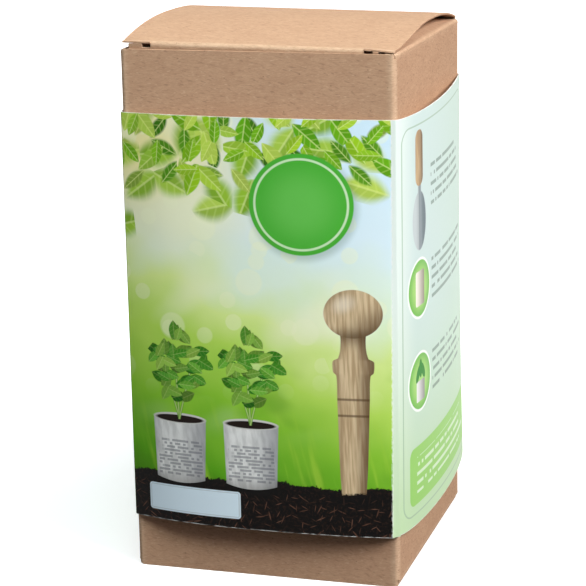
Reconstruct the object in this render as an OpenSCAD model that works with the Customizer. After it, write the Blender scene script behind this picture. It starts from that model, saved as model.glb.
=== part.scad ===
/* [Carton] */
// Outside width of the carton
carton_w = 75; // [74:1:90]
// Outside depth of the carton
carton_d = 76; // [74:1:90]
// Height of the carton's front panel
carton_h = 145; // [143:1:180]
// Thickness of the kraft board
board_t = 0.5; // [0.4:0.05:0.7]
// Outside radius of the upright creases
crease_r = 0.9; // [0.7:0.1:1.5]

/* [Closures] */
// Length of each tuck flap, from its fold to its tip
tuck_l = 16; // [12:1:20]
// Lean of each tuck flap towards the middle of the carton, in degrees
tuck_lean = 10; // [9.5:0.5:14]
// Length of each dust flap, from its fold to its tip
dust_l = 24; // [18:1:28]
// Length of the lock slit at each end of a tuck fold
slit_l = 8.5; // [5:0.5:12]
// Width of the strip that folds in under the glued corner
glue_w = 12; // [8:1:18]

/* [Lid] */
// Rise of the lid's front fold above the front panel, at the left
lid_front_left = 1.9; // [1:0.1:3]
// Rise of the lid's front fold above the front panel, at the right
lid_front_right = 0.8; // [0.8:0.1:3]
// Height of the bowed lid over a straight one, along its left edge
lid_bow_left = 4.4; // [1:0.1:8]
// Height of the bowed lid over a straight one, along its right edge
lid_bow_right = 3.3; // [1:0.1:8]
// Place of the lid's crest, as a share of the way from the back fold to the front fold
lid_crest = 0.47; // [0.3:0.01:0.7]

/* [Sleeve] */
// Height of the paper sleeve
sleeve_h = 113.7; // [80:0.1:114]
// Height of the sleeve's lower edge above the table
sleeve_z = 14.5; // [14:0.1:20]
// Thickness of the sleeve's paper
paper_t = 0.25; // [0.2:0.05:0.4]
// How far each side of the loose sleeve stands out at its middle
sleeve_bulge = 3.7; // [1:0.1:6]
// Width of the sleeve's glued overlap
lap_w = 12; // [8:1:20]

/* [Press] */
// Height of the whole wooden press
press_h = 140; // [136:1:141]
// Diameter of the former's straight body, which shapes the paper pot
former_d = 55; // [40:0.5:56]
// Diameter of the ball handle
ball_d = 54.4; // [36:0.2:55]
// Height of the ball handle, from the neck to its top
ball_h = 36.2; // [30:0.2:40]
// Diameter of the neck under the ball
neck_d = 41.6; // [28:0.2:44]
// Height of the rounded shoulder between the neck and the straight body
shoulder_h = 11.8; // [6:0.2:14]
// Distance from the top of the former to the upper turned groove
groove_drop = 62.4; // [55:0.2:66]
// Distance between the two turned grooves
groove_step = 9.2; // [5:0.2:14]
// Diameter of the press base at its rounded rim
rim_d = 69.5; // [60:0.5:70]
// Height of the press base
base_h = 27.4; // [20:0.2:32]
// Depth of the cup in the press base
cup_depth = 17.4; // [10:0.2:20]
// Room for paper between the former and the cup, on each side
paper_room = 1.5; // [1:0.1:2]

/* [Hidden] */

// Colours of the board, the print and the turned wood
kraft = [0.74, 0.58, 0.46];
kraft_top = [0.88, 0.74, 0.60];
print_green = [0.66, 0.82, 0.42];
print_mint = [0.85, 0.94, 0.90];
beech = [0.82, 0.72, 0.58];

// Clearances: round a folded edge, between stacked flaps, and between sleeve and carton
fold_gap = 0.15;
stack_gap = 0.2;
sleeve_gap = 0.12;
edge_gap = 0.4;

// Half sizes of the carton, outside, inside and at the middle of the board
half_w = carton_w / 2;
half_d = carton_d / 2;
inner_w = half_w - board_t;
inner_d = half_d - board_t;
mid_w = half_w - board_t / 2;
mid_d = half_d - board_t / 2;

// Heights of the fold lines
base_fold_z = board_t / 2;
base_dust_z = base_fold_z + board_t + stack_gap;
dust_z = carton_h - board_t / 2;
lid_fold_z = dust_z + board_t + stack_gap;
fold_reach = board_t / 2 + fold_gap;

// The tuck folds lie just behind the front panel
tuck_y = -(inner_d - board_t / 2 - fold_gap);
tuck_half = half_w - slit_l;
slit_gap = 1.2;
slit_drop = 0.4;
tuck_tip_half = inner_w - 3;
tuck_tip_r = 6;
lid_tilt = atan((lid_front_left - lid_front_right) / carton_w);
lid_front_z = carton_h + (lid_front_left + lid_front_right) / 2 - board_t / 2;

// The dust flaps: the end next to the lid's fold tapers, so that both can open together
dust_rear_y = inner_d - 1.3;
dust_front_y = -(inner_d - 2.5);
dust_taper = 1;
dust_nose = 2;
dust_tip_r = 5;

lid_half = inner_w - 0.1;
lid_rows = 20;
sleeve_steps = 24;
bulge_power = 2.6;

// The press stands on the base's folded-in flaps
press_z = base_dust_z + board_t / 2 + stack_gap;
cup_floor = base_h - cup_depth;
foot_gap = 0.15;
foot_chamfer = 1.2;
groove_r = 0.9;
round_steps = 96;

function unit(v) = v / norm(v);
function turned(v, a) = [v.x * cos(a) - v.y * sin(a), v.x * sin(a) + v.y * cos(a)];
function mix(a, b, s) = a + (b - a) * s;

// Points that round the corner p, between its neighbours a and b, to a radius
function rounded_corner(a, p, b, radius, steps = 6) =
  radius == 0 ? [p] :
  let (
    to_a = unit(a - p),
    to_b = unit(b - p),
    half_angle = acos(to_a * to_b) / 2,
    centre = p + unit(to_a + to_b) * radius / sin(half_angle),
    from = p + to_a * radius / tan(half_angle) - centre,
    side = cross([to_a.x, to_a.y, 0], [to_b.x, to_b.y, 0]).z > 0 ? -1 : 1,
    sweep = side * (180 - 2 * half_angle)
  )
  [for (i = [0 : steps]) centre + turned(from, sweep * i / steps)];

function rounded_outline(points, radii) =
  let (count = len(points))
  [for (i = [0 : count - 1])
    each rounded_corner(
      points[(i + count - 1) % count], points[i], points[(i + 1) % count], radii[i])];

// Plan of the upright walls: a rounded square without its inside
module rounded_square(w, d, r) {
  square([w, d - 2 * r], center = true);
  square([w - 2 * r, d], center = true);
  for (x = [-1, 1], y = [-1, 1])
    translate([x * (w / 2 - r), y * (d / 2 - r)])
      circle(r = r, $fn = 48);
}

// One wall of the carton, split from its neighbours at the middle of each crease
// It faces down in plan; length is its own width and reach its distance from the middle
module wall(length, reach, low, high) {
  wedge = 4;
  translate([0, 0, low])
    linear_extrude(high - low)
      intersection() {
        difference() {
          rounded_square(length, 2 * reach, crease_r);
          rounded_square(length - 2 * board_t, 2 * (reach - board_t), crease_r - board_t);
        }
        polygon([
          [-length / 2 - wedge, -reach - wedge],
          [length / 2 + wedge, -reach - wedge],
          [length / 2 - wedge, -reach + wedge],
          [-length / 2 + wedge, -reach + wedge]
        ]);
      }
}

module front_panel() {
  color(kraft)
    wall(carton_w, half_d, 0, carton_h);
}

module right_panel() {
  color(kraft)
    rotate([0, 0, 90])
      wall(carton_d, half_w, base_dust_z + fold_reach, dust_z - fold_reach);
}

module back_panel() {
  color(kraft)
    rotate([0, 0, 180])
      wall(carton_w, half_d, base_fold_z + fold_reach, lid_fold_z - fold_reach);
}

module left_panel() {
  color(kraft)
    rotate([0, 0, -90])
      wall(carton_d, half_w, base_dust_z + fold_reach, dust_z - fold_reach);
}

// The strip that joins the left panel to the back panel, glued inside the back panel
module glue_flap() {
  low = base_dust_z + 3;
  high = dust_z - 3;
  slope = 6;
  color(kraft)
    translate([-inner_w + crease_r - board_t, inner_d, 0])
      rotate([90, 0, 0])
        linear_extrude(board_t)
          polygon([[0, low], [glue_w, low + slope], [glue_w, high - slope], [0, high]]);
}

// A flap's folded edge: a round bead about the fold line, along X
module fold_bead(length) {
  rotate([0, 90, 0])
    cylinder(h = length, r = board_t / 2, center = true, $fn = 32);
}

// A tuck flap that hangs from its fold, with a slit at each end of the fold
module tuck_flap() {
  shoulder = inner_w - edge_gap;
  outline = rounded_outline(
    [
      [-tuck_half, 0], [-tuck_half, -slit_drop], [-shoulder, -slit_drop],
      [-tuck_tip_half, -tuck_l], [tuck_tip_half, -tuck_l],
      [shoulder, -slit_drop], [tuck_half, -slit_drop], [tuck_half, 0]
    ],
    [0, 0, 0, tuck_tip_r, tuck_tip_r, 0, 0, 0]);
  rotate([tuck_lean, 0, 0]) {
    rotate([90, 0, 0])
      linear_extrude(board_t, center = true)
        polygon(outline);
    fold_bead(2 * tuck_half);
  }
}

// A dust flap at the left side, folded in flat, with its fold line along Y
module dust_flap() {
  outline = rounded_outline(
    [
      [0, dust_front_y], [dust_l, dust_front_y + dust_nose],
      [dust_l, dust_rear_y - dust_taper * dust_l], [0, dust_rear_y]
    ],
    [0, dust_tip_r, dust_tip_r, 0]);
  linear_extrude(board_t, center = true)
    polygon(outline);
  translate([0, (dust_rear_y + dust_front_y) / 2, 0])
    rotate([0, 0, 90])
      fold_bead(dust_rear_y - dust_front_y);
}

module left_dust_flap() {
  color(kraft)
    translate([-mid_w, 0, dust_z])
      dust_flap();
}

module right_dust_flap() {
  color(kraft)
    mirror([1, 0, 0])
      left_dust_flap();
}

module base_left_dust_flap() {
  color(kraft)
    translate([-mid_w, 0, base_dust_z])
      dust_flap();
}

module base_right_dust_flap() {
  color(kraft)
    mirror([1, 0, 0])
      base_left_dust_flap();
}

module base_tuck_flap() {
  color(kraft)
    translate([0, tuck_y, base_fold_z])
      mirror([0, 0, 1])
        tuck_flap();
}

// The flat base, folded in from the back panel, with its front cut back at the slits
module base_panel() {
  front = tuck_y + fold_reach;
  color(kraft)
    translate([0, 0, base_fold_z]) {
      linear_extrude(board_t, center = true)
        polygon([
          [-lid_half, mid_d], [-lid_half, front + slit_gap],
          [-tuck_half, front + slit_gap], [-tuck_half, front],
          [tuck_half, front], [tuck_half, front + slit_gap],
          [lid_half, front + slit_gap], [lid_half, mid_d]
        ]);
      translate([0, mid_d, 0])
        fold_bead(2 * lid_half);
    }
}

// Height of the bow at a share s of the way from the back fold to the front fold
function bow(s) =
  s < lid_crest ? 1 - pow((lid_crest - s) / lid_crest, 2.8) :
  (1 + cos(180 * (s - lid_crest) / (1 - lid_crest))) / 2;

// Height of the lid's upper face at a place x across the lid and a share s along it
function lid_top(x, s) =
  let (
    across = (x + half_w) / carton_w,
    back = lid_fold_z + board_t / 2,
    front = carton_h + mix(lid_front_left, lid_front_right, across),
    rise = mix(lid_bow_left, lid_bow_right, across)
  )
  mix(back, front, s) + rise * bow(s);

// The bowed lid: columns of points across it, each from the back fold to its own front end
module lid_panel() {
  front = tuck_y + fold_reach;
  step = 0.05;
  columns = [
    [-lid_half, front + slit_gap], [-tuck_half - step, front + slit_gap],
    [-tuck_half, front], [tuck_half, front],
    [tuck_half + step, front + slit_gap], [lid_half, front + slit_gap]
  ];
  last = len(columns) - 1;
  function share(y) = (mid_d - y) / (mid_d - tuck_y);
  function lid_point(c, i, drop) =
    let (
      x = columns[c][0],
      y = mix(mid_d, columns[c][1], i / lid_rows)
    )
    [x, y, lid_top(x, share(y)) - drop];
  function id(side, c, i) = (side * (last + 1) + c) * (lid_rows + 1) + i;
  points = [
    for (side = [0, 1], c = [0 : last], i = [0 : lid_rows])
      lid_point(c, i, side * board_t)
  ];
  upper = [
    for (c = [0 : last - 1], i = [0 : lid_rows - 1])
      each [
        [id(0, c, i), id(0, c + 1, i), id(0, c + 1, i + 1)],
        [id(0, c, i), id(0, c + 1, i + 1), id(0, c, i + 1)]
      ]
  ];
  lower = [
    for (c = [0 : last - 1], i = [0 : lid_rows - 1])
      each [
        [id(1, c, i), id(1, c + 1, i + 1), id(1, c + 1, i)],
        [id(1, c, i), id(1, c, i + 1), id(1, c + 1, i + 1)]
      ]
  ];
  sides = [
    for (i = [0 : lid_rows - 1])
      each [
        [id(0, 0, i), id(0, 0, i + 1), id(1, 0, i + 1), id(1, 0, i)],
        [id(0, last, i + 1), id(0, last, i), id(1, last, i), id(1, last, i + 1)]
      ]
  ];
  ends = [
    for (c = [0 : last - 1])
      each [
        [id(0, c + 1, 0), id(0, c, 0), id(1, c, 0), id(1, c + 1, 0)],
        [id(0, c, lid_rows), id(0, c + 1, lid_rows), id(1, c + 1, lid_rows), id(1, c, lid_rows)]
      ]
  ];
  color(kraft_top) {
    polyhedron(points, concat(upper, lower, sides, ends));
    translate([0, mid_d, lid_fold_z])
      fold_bead(2 * lid_half);
  }
}

module lid_tuck_flap() {
  color(kraft_top)
    translate([0, tuck_y, lid_front_z])
      rotate([0, lid_tilt, 0])
        tuck_flap();
}

// A point of the bulging sleeve's plan, at a share s from -1 to 1 along one side
function bulged(half, reach, s) =
  [half * s, -reach - sleeve_bulge * (1 - pow(abs(s), bulge_power))];

// One side of the sleeve, facing down in plan, mitred at its creases
module sleeve_side(half, reach) {
  inner_half = half + sleeve_gap;
  inner_reach = reach + sleeve_gap;
  inside = [
    for (i = [0 : sleeve_steps])
      bulged(inner_half, inner_reach, 2 * i / sleeve_steps - 1)
  ];
  outside = [
    for (i = [0 : sleeve_steps])
      bulged(inner_half + paper_t, inner_reach + paper_t, 1 - 2 * i / sleeve_steps)
  ];
  translate([0, 0, sleeve_z])
    linear_extrude(sleeve_h)
      polygon(concat(inside, outside));
}

module sleeve_front() {
  color(print_green)
    sleeve_side(half_w, half_d);
}

module sleeve_right() {
  color(print_mint)
    rotate([0, 0, 90])
      sleeve_side(half_d, half_w);
}

module sleeve_back() {
  color(print_green)
    rotate([0, 0, 180])
      sleeve_side(half_w, half_d);
}

module sleeve_left() {
  color(print_mint)
    rotate([0, 0, -90])
      sleeve_side(half_d, half_w);
}

// The sleeve's overlap, glued on the outside of its back
module sleeve_seam_lap() {
  half = half_w + sleeve_gap + paper_t;
  reach = half_d + sleeve_gap + paper_t;
  steps = 8;
  share = lap_w / half;
  lap_line = [
    for (i = [0 : steps])
      bulged(half, reach, 1 - share * i / steps)
  ];
  outside = [
    for (i = [steps : -1 : 0])
      lap_line[i] - [0, paper_t]
  ];
  color(print_mint)
    rotate([0, 0, 180])
      translate([0, 0, sleeve_z])
        linear_extrude(sleeve_h)
          polygon(concat(lap_line, outside));
}

// Profile points of a small round groove, cut into a straight side of radius r at height z
function groove(r, z) = [for (i = [0 : 8]) [r - groove_r * sin(22.5 * i), z - groove_r * cos(22.5 * i)]];

module press_former() {
  r = former_d / 2;
  foot = cup_floor + foot_gap;
  neck_z = press_h - ball_h;
  shoulder_z = neck_z - shoulder_h;
  ball_r = ball_d / 2;
  // The ball is an ellipse in profile, cut off where it meets the neck
  neck_angle = -acos(neck_d / ball_d);
  ball_b = ball_h / (1 - sin(neck_angle));
  ball_z = press_h - ball_b;
  upper_groove = press_h - groove_drop;
  shoulder = [
    for (i = [0 : 10])
      [neck_d / 2 + (r - neck_d / 2) * cos(9 * i), shoulder_z + shoulder_h * sin(9 * i)]
  ];
  ball = [
    for (i = [0 : 24])
      let (a = mix(neck_angle, 90, i / 24))
      [ball_r * cos(a), ball_z + ball_b * sin(a)]
  ];
  color(beech)
    translate([0, 0, press_z])
      rotate_extrude($fn = round_steps)
        polygon(concat(
          [[0, foot], [r - foot_chamfer, foot], [r, foot + foot_chamfer]],
          groove(r, upper_groove - groove_step),
          groove(r, upper_groove),
          shoulder,
          ball));
}

module press_base() {
  r = rim_d / 2;
  bead_h = 6.6;
  bead_z = base_h - bead_h / 2;
  waist_r = r - 2.2;
  foot_r = r - 1.2;
  cup_r = former_d / 2 + paper_room;
  bead = [
    for (i = [0 : 12])
      let (a = 15 * i - 90)
      [r - bead_h / 2 + bead_h / 2 * cos(a), bead_z + bead_h / 2 * sin(a)]
  ];
  color(beech)
    translate([0, 0, press_z])
      rotate_extrude($fn = round_steps)
        polygon(concat(
          [[0, 0], [foot_r - 0.8, 0], [foot_r, 0.8], [waist_r, base_h - bead_h - 2]],
          [[waist_r - 0.6, base_h - bead_h]],
          bead,
          [[cup_r + 0.8, base_h], [cup_r, base_h - 0.8], [cup_r, cup_floor], [0, cup_floor]]));
}

front_panel();
right_panel();
back_panel();
left_panel();
glue_flap();
lid_panel();
lid_tuck_flap();
left_dust_flap();
right_dust_flap();
base_panel();
base_tuck_flap();
base_left_dust_flap();
base_right_dust_flap();
sleeve_front();
sleeve_right();
sleeve_back();
sleeve_left();
sleeve_seam_lap();
press_former();
press_base();
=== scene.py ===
# %% [markdown]
# # A boxed press for paper seedling pots
# The object is a kraft carton with tuck flaps at both ends, a loose printed paper sleeve
# round it, and inside it a turned wooden press in two pieces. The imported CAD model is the
# frame: it fixes every size and every joint. This lesson models the surfaces that are seen
# in the same places, and gives each one its finish.

# %% Load the frame
import math

import bmesh
import bpy
from mathutils import Matrix, Vector


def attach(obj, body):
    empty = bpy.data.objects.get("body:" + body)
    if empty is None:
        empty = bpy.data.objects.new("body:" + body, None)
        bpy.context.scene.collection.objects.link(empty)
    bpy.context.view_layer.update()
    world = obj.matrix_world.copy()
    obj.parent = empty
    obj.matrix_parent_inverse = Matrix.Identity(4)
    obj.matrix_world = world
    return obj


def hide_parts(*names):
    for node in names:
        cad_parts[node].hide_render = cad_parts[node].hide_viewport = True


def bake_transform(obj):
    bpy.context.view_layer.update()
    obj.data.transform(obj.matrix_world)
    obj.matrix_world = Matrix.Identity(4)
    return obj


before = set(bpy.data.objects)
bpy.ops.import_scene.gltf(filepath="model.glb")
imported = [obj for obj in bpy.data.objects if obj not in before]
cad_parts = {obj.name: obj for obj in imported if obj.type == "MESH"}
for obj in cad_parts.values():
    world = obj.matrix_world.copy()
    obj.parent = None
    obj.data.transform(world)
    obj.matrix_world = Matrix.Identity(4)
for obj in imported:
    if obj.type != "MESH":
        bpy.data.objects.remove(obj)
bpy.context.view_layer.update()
bpy.ops.object.select_all(action="DESELECT")
MM = 0.001

# %% [markdown]
# ## Camera
# The camera stands where the photographer stood: a little to the right of the carton's front
# and a little above it. Its turn and distance were solved from the carton's corners, so the
# render lines up with the photograph. The matrix is built from three directions, and this
# keeps the small roll that a simple aim at the target would lose.

# %% Camera at the photograph's viewing angle
AZIMUTH, ELEVATION, ROLL = (math.radians(angle) for angle in (16.70, 14.19, -1.11))
DISTANCE = 0.6102
TARGET = Vector((-2.29, 0, 70.89)) * MM
SENSOR, FOCAL_PIXELS, FRAME_PIXELS = 36.0, 2144.4, 586

behind = Vector((
    math.sin(AZIMUTH) * math.cos(ELEVATION),
    -math.cos(AZIMUTH) * math.cos(ELEVATION),
    math.sin(ELEVATION),
))
level_right = (-behind).cross(Vector((0, 0, 1))).normalized()
level_up = level_right.cross(-behind)
right = level_right * math.cos(ROLL) + level_up * math.sin(ROLL)
upward = level_up * math.cos(ROLL) - level_right * math.sin(ROLL)

bpy.ops.object.camera_add()
camera = bpy.context.object
camera.matrix_world = (
    Matrix.Translation(TARGET + behind * DISTANCE)
    @ Matrix((right, upward, behind)).transposed().to_4x4()
)
camera.data.sensor_width = SENSOR
camera.data.lens = SENSOR * FOCAL_PIXELS / FRAME_PIXELS
bpy.context.scene.camera = camera
print("lens in mm:", round(camera.data.lens, 1))

# %% [markdown]
# ## Light
# The photograph is a plain studio shot. Its lid is the brightest face, the side comes next
# and the front is the darkest, and the upright crease between them catches the most light.
# So the key lamp stands to the right of that crease and well above it. A soft lamp overhead
# lights the lid, and a weak one at the left keeps the front from going dull. A fourth lamp
# behind lights the back and the left side for the views from there. The view transform is
# Standard, so that a colour renders about as it is written.

# %% Four soft lamps
LAMP_TARGET = Vector((0, 0, 0.07))


def add_lamp(name, place, size, power, tint=(1, 1, 1)):
    """A square soft lamp that looks at the middle of the carton. Places in metres."""
    bpy.ops.object.light_add(type="AREA", location=place)
    lamp = bpy.context.object
    lamp.name = name
    lamp.data.size = size
    lamp.data.energy = power
    lamp.data.color = tint
    aim = LAMP_TARGET - lamp.location
    lamp.rotation_euler = aim.to_track_quat("-Z", "Y").to_euler()
    print(name, "stands", round(aim.length, 2), "m away")


add_lamp("key_lamp", (0.82, -0.39, 0.70), size=0.42, power=14.3)
add_lamp("top_lamp", (0.00, -0.26, 0.62), size=0.30, power=2.2, tint=(0.85, 1.0, 1.0))
add_lamp("fill_lamp", (-0.90, -0.90, 0.90), size=0.80, power=0.9, tint=(1.0, 0.88, 0.97))
add_lamp("back_lamp", (-0.95, 0.80, 0.45), size=0.60, power=8.0)
bpy.context.scene.view_settings.view_transform = "Standard"

# %% [markdown]
# ## Building a finish
# A material is a small sum written in nodes. Adding each node by hand takes many lines, so
# this class keeps the tree and gives short names to the steps used again and again: a sum, a
# soft step, a mix of two colours, a noise. Each call adds a node or a short chain of nodes,
# and most of them return the result, ready for the next call. The world's air is made with
# the same calls, so they stand apart from what only a material has.

# %% Short calls that add nodes
SEEN_BY = "Is Camera Ray", "Is Glossy Ray", "Is Transmission Ray"
WHITE = (1, 1, 1, 1)


def ink(red, green, blue):
    """A colour as it is read from a picture, 0 to 255, made ready for a shader."""
    return (*((value / 255) ** 2.2 for value in (red, green, blue)), 1)


class Shading:
    """A node tree, and short calls that add its nodes."""

    def __init__(self, tree):
        self.tree = tree

    def feed(self, socket, value):
        if isinstance(value, bpy.types.NodeSocket):
            self.tree.links.new(value, socket)
        else:
            socket.default_value = value

    def node(self, kind, inputs=None, **settings):
        made = self.tree.nodes.new("ShaderNode" + kind)
        for name, value in settings.items():
            setattr(made, name, value)
        for socket, value in (inputs or {}).items():
            self.feed(made.inputs[socket], value)
        return made

    def maths(self, operation, *values):
        return self.node("Math", dict(enumerate(values)), operation=operation).outputs[0]

    def chain(self, operation, *values):
        """Joins any number of values by one operation, two at a time."""
        result = values[0]
        for value in values[1:]:
            result = self.maths(operation, result, value)
        return result

    def product(self, *shares):
        return self.chain("MULTIPLY", *shares)

    def minus(self, value, taken):
        return self.maths("SUBTRACT", value, taken)

    def gap(self, value, place):
        """How far a value is from a place, on either side of it."""
        return self.maths("ABSOLUTE", self.minus(value, place))

    def step(self, value, start, end, low=0.0, high=1.0):
        """Low up to start, high from end on, and a soft change between them."""
        sockets = {0: value, 1: start, 2: end, 3: low, 4: high}
        return self.node("MapRange", sockets, interpolation_type="SMOOTHSTEP").outputs[0]

    def over(self, value, place, soft=0.1):
        """1 where the value is over a place and 0 under it, with a soft edge."""
        return self.step(value, place - soft, place + soft)

    def under(self, value, place, soft=0.1):
        return self.step(value, place + soft, place - soft)

    def mix(self, share, first, second):
        return self.node("Mix", {0: share, 6: first, 7: second}, data_type="RGBA").outputs[2]

    def noise(self, place, scale, detail=2.0, roughness=0.5):
        sockets = {"Vector": place, "Scale": scale, "Detail": detail, "Roughness": roughness}
        return self.node("TexNoise", sockets).outputs[0]

    def sized(self, place, size, turn=0.0, centre=(0, 0)):
        """Turns a place about a centre, and measures it in steps of the given size."""
        sockets = {"Vector": place, "Location": (*centre, 0)[:3], "Scale": (*size, 1)[:3],
                   "Rotation": (0, 0, math.radians(turn))}
        return self.node("Mapping", sockets, vector_type="TEXTURE").outputs[0]

    def blotches(self, place, size, turn=0.0, centre=(0, 0), detail=2.0, roughness=0.5):
        """A noise whose blotches have about the given size."""
        return self.noise(self.sized(place, size, turn, centre), 1.0, detail, roughness)

    def vector(self, operation, first, second=(0, 0, 0)):
        made = self.node("VectorMath", {0: first, 1: second}, operation=operation)
        return made.outputs["Value" if operation == "LENGTH" else 0]

    def split(self, place):
        return self.node("SeparateXYZ", {0: place}).outputs[:]

    def channels(self, colour):
        return self.node("SeparateColor", {0: colour}).outputs[:]

    def seen(self):
        """1 for a ray that the camera sees, straight or by a reflection, and 0 for others."""
        rays = self.node("LightPath").outputs
        return self.chain("MAXIMUM", *(rays[kind] for kind in SEEN_BY))


# %% A material made with these calls
class Finish(Shading):
    """One material. Its constants are set on the shader's own sockets."""

    def __init__(self, name, **constants):
        self.material = bpy.data.materials.new(name)
        self.material.use_nodes = True
        super().__init__(self.material.node_tree)
        self.surface = self.tree.nodes["Principled BSDF"]
        for socket, value in constants.items():
            self.surface.inputs[socket.replace("_", " ")].default_value = value

    def bump(self, height, depth):
        """Raises the surface by depth, in mm, where height is 1."""
        sockets = {"Height": height, "Distance": depth * MM}
        self.feed(self.surface.inputs["Normal"], self.node("Bump", sockets).outputs[0])

    def colour(self, value):
        self.feed(self.surface.inputs["Base Color"], value)


# %% [markdown]
# ## Kraft board
# Kraft is brown because its wood fibres are left unbleached, and the fibres show: long ones
# lie along the sheet, with a cloudy tone under them and a few dark specks of bark. Where the
# board is folded its skin stretches and the fold turns paler, and the same pale band also
# stands in for a highlight on the rounded bend, so it is partly wear and partly painted light.
# The pattern reads a flat map named sheet, in mm, which stays with the board when a flap is
# opened. The paler folds read an attribute named wear, which each piece gets when it is
# modelled.

# %% Kraft board and its cut edge
# Length and width of a fibre in mm, its turn in degrees, and its share of the tone
FIBRES = (((5.0, 2.0), 4, 0.20), ((1.9, 0.42), 3, 0.30), ((1.1, 0.24), -11, 0.22),
          ((0.7, 0.20), 16, 0.16))
CLOUD_SCALE, CLOUD_SHARE = 0.09, 0.12


def kraft_finish(name, light, dark):
    """Fibres over a cloudy tone, then pale and brown flecks, bark, and folds paled by wear and
    a painted highlight.
    """
    kraft = Finish(name, Roughness=0.95, Specular_IOR_Level=0.06)
    sheet = kraft.node("UVMap", uv_map="sheet").outputs[0]
    shade = kraft.product(kraft.noise(sheet, CLOUD_SCALE), CLOUD_SHARE)
    for size, turn, share in FIBRES:
        fibre = kraft.blotches(sheet, size, turn, detail=3.0, roughness=0.6)
        shade = kraft.maths("MULTIPLY_ADD", fibre, share, shade)
    tone = kraft.mix(kraft.step(shade, 0.35, 0.65), dark, light)
    pale = kraft.blotches(sheet, (1.5, 0.42), 7, (40, 9))
    tone = kraft.mix(kraft.step(pale, 0.58, 0.76, high=0.36), tone, ink(230, 200, 170))
    brown = kraft.blotches(sheet, (1.9, 0.55), -13, (7, 31))
    tone = kraft.mix(kraft.step(brown, 0.56, 0.74, high=0.55), tone, ink(150, 114, 92))
    bark = kraft.node("TexVoronoi", {"Vector": kraft.sized(sheet, (2.6, 1.9)), "Scale": 1.0})
    chosen = kraft.step(kraft.channels(bark.outputs["Color"])[0], 0.55, 0.60)
    speck = kraft.step(bark.outputs["Distance"], 0.10, 0.05, high=0.55)
    tone = kraft.mix(kraft.product(speck, chosen), tone, ink(116, 84, 60))
    # Folds are painted paler: partly worn board, partly a painted highlight on the bend
    wear = kraft.node("Attribute", attribute_name="wear").outputs["Fac"]
    wear_and_highlight = kraft.product(wear, kraft.step(shade, 0.35, 0.65, 0.1, 0.5))
    kraft.colour(kraft.mix(wear_and_highlight, tone, ink(240, 212, 180)))
    kraft.bump(kraft.maths("MULTIPLY_ADD", pale, 0.4, shade), depth=0.06)
    return kraft.material


kraft_board = kraft_finish("kraft_board", light=ink(201, 162, 132), dark=ink(181, 142, 114))
kraft_edge = kraft_finish("kraft_cut_edge", light=ink(176, 140, 108), dark=ink(142, 108, 80))
print("kraft nodes:", len(kraft_board.node_tree.nodes))

# %% [markdown]
# ## Working in edit mode from a script
# By hand, an artist clicks the parts to change and then runs an operator. A script has no
# mouse, so it chooses the parts by their place. The first helpers do that choosing, in mm.
# The next ones give short names to the operators: pull extrudes, shift moves, widen scales,
# round_off bevels, bend spins and slice_at cuts. The last ones start, finish and copy a piece.

# %% Choosing a piece and its parts
KINDS = {"verts": "VERT", "edges": "EDGE", "faces": "FACE"}
NEAR = 0.01


def only(piece):
    """Leaves one piece selected and active."""
    bpy.ops.object.select_all(action="DESELECT")
    piece.select_set(True)
    bpy.context.view_layer.objects.active = piece


def edit(piece):
    only(piece)
    bpy.ops.object.mode_set(mode="EDIT")


def settle():
    """Moves the chosen piece's place, turn and size into its mesh."""
    bpy.ops.object.transform_apply(location=True, rotation=True, scale=True)


def leave():
    bpy.ops.object.mode_set(mode="OBJECT")
    settle()
    return bpy.context.object


def middle(part):
    """Middle of a vertex, edge or face, in mm."""
    points = [part.co] if hasattr(part, "co") else [vertex.co for vertex in part.verts]
    return sum(points, Vector()) / len(points) / MM


def pick(kind, test):
    """Selects the parts that pass the test by their middle, and returns how many did."""
    bpy.ops.mesh.select_mode(type=KINDS[kind])
    bpy.ops.mesh.select_all(action="DESELECT")
    mesh = bmesh.from_edit_mesh(bpy.context.object.data)
    found = [part for part in getattr(mesh, kind) if test(middle(part), part)]
    for part in found:
        part.select_set(True)
    bmesh.update_edit_mesh(bpy.context.object.data)
    return len(found)


def span(piece, axis):
    """The lowest and highest place of a piece along one axis, 0 to 2, in mm."""
    places = [vertex.co[axis] / MM for vertex in piece.data.vertices]
    return round(min(places), 2), round(max(places), 2)


# %% Short names for the operators
def pull(x=0.0, y=0.0, z=0.0):
    bpy.ops.mesh.extrude_region_move(
        TRANSFORM_OT_translate={"value": (x * MM, y * MM, z * MM)})


def shift(x=0.0, y=0.0, z=0.0):
    bpy.ops.transform.translate(value=(x * MM, y * MM, z * MM))


def widen(x=1.0, y=1.0, centre=(0, 0, 0)):
    """Scales the picked parts from a centre in mm."""
    bpy.ops.transform.resize(
        value=(x, y, 1), center_override=[place * MM for place in centre])


def round_off(radius, steps, affect="VERTICES"):
    """Rounds the picked corners, or the picked edges."""
    bpy.ops.mesh.bevel(offset=radius * MM, segments=steps, affect=affect)


def bend(centre, degrees, steps, axis=(1, 0, 0)):
    """Spins the picked edges clockwise about a centre in mm, for a rounded fold."""
    bpy.ops.mesh.spin(
        steps=steps, angle=math.radians(degrees), center=Vector(centre) * MM, axis=axis)


def slice_at(axis, places):
    """Cuts all faces of the piece by planes across one axis, 0 to 2."""
    for place in places:
        bpy.ops.mesh.select_all(action="SELECT")
        point, normal = Vector(), Vector()
        point[axis], normal[axis] = place * MM, 1
        bpy.ops.mesh.bisect(plane_co=point, plane_no=normal)


def both_sides(*places):
    return [side * place for side in (-1, 1) for place in places]


# %% Starting, finishing and copying a piece
def add_sheet(name, size, place, columns=1, rows=1, turn=(0, 0, 0)):
    """A flat grid of the given size in mm, left in edit mode."""
    bpy.ops.mesh.primitive_grid_add(
        x_subdivisions=columns, y_subdivisions=rows, size=1,
        location=Vector(place) * MM, rotation=turn)
    piece = bpy.context.object
    piece.name = name
    piece.scale = (size[0] * MM, size[1] * MM, 1)
    settle()
    bpy.ops.object.mode_set(mode="EDIT")
    return piece


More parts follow.
